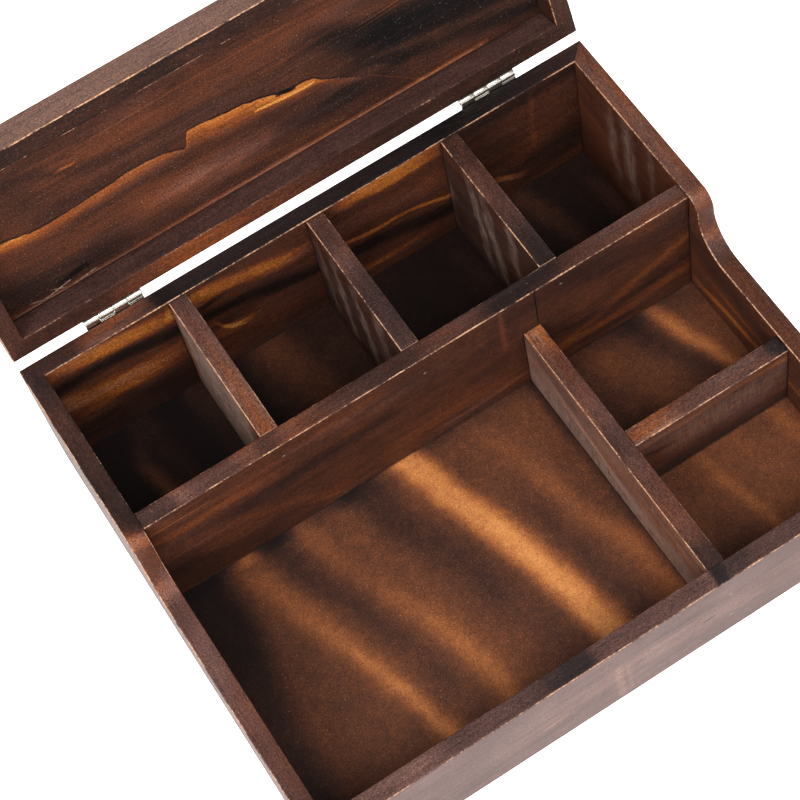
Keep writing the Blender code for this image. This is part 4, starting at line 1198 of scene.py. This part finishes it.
def screw_mesh(length):
    """A countersunk screw along Z, its head's top at Z = 0, with a cross recess."""
    root = 0.7 * MM
    crest = 1.0 * MM
    turns = 7
    pitch = (length - SCREW_SINK) / (turns + 1)
    profile = [(0, -length)]
    for index in range(turns):
        at = -length + pitch * (index + 0.5)
        profile += [(root * min(1, 0.5 + index), at), (crest * min(1, 0.7 + 0.3 * index), at + pitch / 2)]
    edge = 0.06 * MM
    profile += [(root, -SCREW_SINK - pitch / 2), (root, -SCREW_SINK)]
    profile += [(SCREW_HEAD - edge, -2 * edge), (SCREW_HEAD, -edge), (SCREW_HEAD - edge, 0), (0, 0)]
    arms = []
    for size in ((1.15 * MM, 0.24 * MM), (0.24 * MM, 1.15 * MM)):
        bm = bmesh.new()
        shape = Matrix.Diagonal((2 * size[0], 2 * size[1], 1.1 * MM, 1))
        bmesh.ops.create_cube(bm, size=1.0, matrix=shape)
        arms.append(solid(bm))
    return mended(combined(solid(turned(profile)), arms, "DIFFERENCE"))


def pin_mesh():
    """The hinge pin along X, domed at both ends."""
    rise = 0.4 * MM
    profile = []
    for step in range(7):
        angle = math.pi / 2 * step / 6
        profile.append((PIN_RADIUS * math.sin(angle), -HINGE_LENGTH / 2 - rise * math.cos(angle)))
    profile += [(radius, -height) for radius, height in reversed(profile)]
    bm = turned(profile)
    bmesh.ops.rotate(bm, verts=bm.verts, cent=(0, 0, 0), matrix=Matrix.Rotation(math.pi / 2, 3, "Y"))
    mesh = bpy.data.meshes.new("pin")
    bm.to_mesh(mesh)
    bm.free()
    return mesh


BRAD_HEAD = 0.8 * MM
BRAD_LENGTH = 22 * MM


def brad_mesh():
    """A brad along Z with a slightly dished head at Z = 0."""
    shank = 0.6 * MM
    dish = 0.12 * MM
    profile = [(0, -BRAD_LENGTH), (shank, -BRAD_LENGTH + 1.8 * MM), (shank, -0.7 * MM)]
    profile += [(BRAD_HEAD, -0.35 * MM), (BRAD_HEAD, -0.1 * MM), (BRAD_HEAD - 0.1 * MM, 0.0)]
    profile += [(0.4 * BRAD_HEAD, -dish), (0, -dish)]
    bm = turned(profile, 20)
    mesh = bpy.data.meshes.new("brad")
    bm.to_mesh(mesh)
    bm.free()
    return mesh


def placed(mesh, matrix):
    """A copy of a mesh moved into an object's frame."""
    copy = mesh.copy()
    copy.transform(matrix)
    return copy


def build_fasteners():
    finish = brad_steel("brad_steel")
    brad = brad_mesh()
    for name in frame["nodes"]:
        if name.startswith("brad"):
            head, direction = head_and_direction(name, Matrix.Identity(4))
            matrix = Matrix.Translation(head) @ upright(direction)
            finish_piece(name, placed(brad, matrix), finish, "base")


def build_hinges():
    finish = nickel("nickel")
    pin = pin_mesh()
    screw = screw_mesh(7.5 * MM)
    for where in ("left", "right"):
        name = "hinge_" + where
        x = (low(name + "_pin").x + high(name + "_pin").x) / 2
        offset = Vector((x, 0, 0))
        finish_piece(name + "_pin", placed(pin, Matrix.Translation(AXIS + offset)), finish, "base")
        leaves = (("base", -1, 0, AXIS + offset, Matrix.Identity(4)), ("lid", 1, 1, offset, LID_PLACE))
        for body, side, first, centre, matrix in leaves:
            spots = []
            for number in (1, 2):
                node = f"{name}_{body}_screw_{number}"
                head, direction = head_and_direction(node, matrix)
                spots.append(((head - centre).x, (head - centre).z))
                turn = Matrix.Rotation(0.6 * number + 0.9 * side, 4, "Z")
                mesh = placed(screw, Matrix.Translation(head) @ upright(direction) @ turn)
                finish_piece(node, mesh, finish, body)
            mesh = placed(leaf_mesh(side, first, spots), Matrix.Translation(centre))
            finish_piece(f"{name}_{body}_leaf", mesh, finish, body)


# Light, floor and camera

CAMERA_PLACE = (-0.177788, -0.342256, 0.996751)
CAMERA_TURN = (27.297, 6.290, -32.343)
CAMERA_LENS = 106.8
CAMERA_SHIFT = (-0.0621, 0.0389)
FLOOR_SIZE = 12.0
FLOOR_GLOW = 1.3
SKY_LOW = 2.05
SKY_HIGH = 0.3
KEY_POWER = 44
FRONT_POWER = 35


def softbox(name, place, aim, size, power, tint=(1, 1, 1)):
    light = bpy.data.lights.new(name, "AREA")
    light.shape = "RECTANGLE"
    light.size, light.size_y = size
    light.energy = power
    light.color = tint
    made = bpy.data.objects.new(name, light)
    made.location = place
    made.rotation_euler = (Vector(aim) - Vector(place)).to_track_quat("-Z", "Y").to_euler()
    bpy.context.scene.collection.objects.link(made)


def build_stage():
    bm = bmesh.new()
    bmesh.ops.create_grid(bm, x_segments=8, y_segments=8, size=FLOOR_SIZE / 2)
    mesh = bpy.data.meshes.new("studio_floor")
    bm.to_mesh(mesh)
    bm.free()
    floor = bpy.data.objects.new("studio_floor", mesh)
    floor.location = (0, 0, -0.0002)
    bpy.context.scene.collection.objects.link(floor)
    mesh.materials.append(pale_floor("studio_floor"))
    world = bpy.data.worlds.new("studio")
    bpy.context.scene.world = world
    world.use_nodes = True
    g = Graph(world.node_tree)
    axes = world.node_tree.nodes.new("ShaderNodeSeparateXYZ")
    g.feed(axes.inputs[0], g.add("ShaderNodeTexCoord"))
    strength = g.smooth(axes.outputs["Z"], 0.05, 0.6, SKY_LOW, SKY_HIGH)
    sky = world.node_tree.nodes["Background"]
    sky.inputs["Color"].default_value = (1.0, 0.985, 0.97, 1.0)
    g.feed(sky.inputs["Strength"], strength)
    softbox("key_light", (-1.2, -0.5, 1.3), (0, 0.1, 0.05), (1.3, 1.1), KEY_POWER)
    softbox("front_light", (0.15, -1.0, 1.7), (0, 0.1, 0.05), (1.2, 0.9), FRONT_POWER)


def build_camera():
    camera = bpy.data.cameras.new("camera")
    camera.lens = CAMERA_LENS
    camera.shift_x, camera.shift_y = CAMERA_SHIFT
    camera.clip_start = 0.01
    made = bpy.data.objects.new("camera", camera)
    made.location = CAMERA_PLACE
    made.rotation_euler = [math.radians(angle) for angle in CAMERA_TURN]
    bpy.context.scene.collection.objects.link(made)
    bpy.context.scene.camera = made
    bpy.context.scene.view_settings.view_transform = "Standard"


build_outer_boards()
build_dividers()
build_floor()
build_lid()
build_fasteners()
build_hinges()
build_stage()
build_camera()
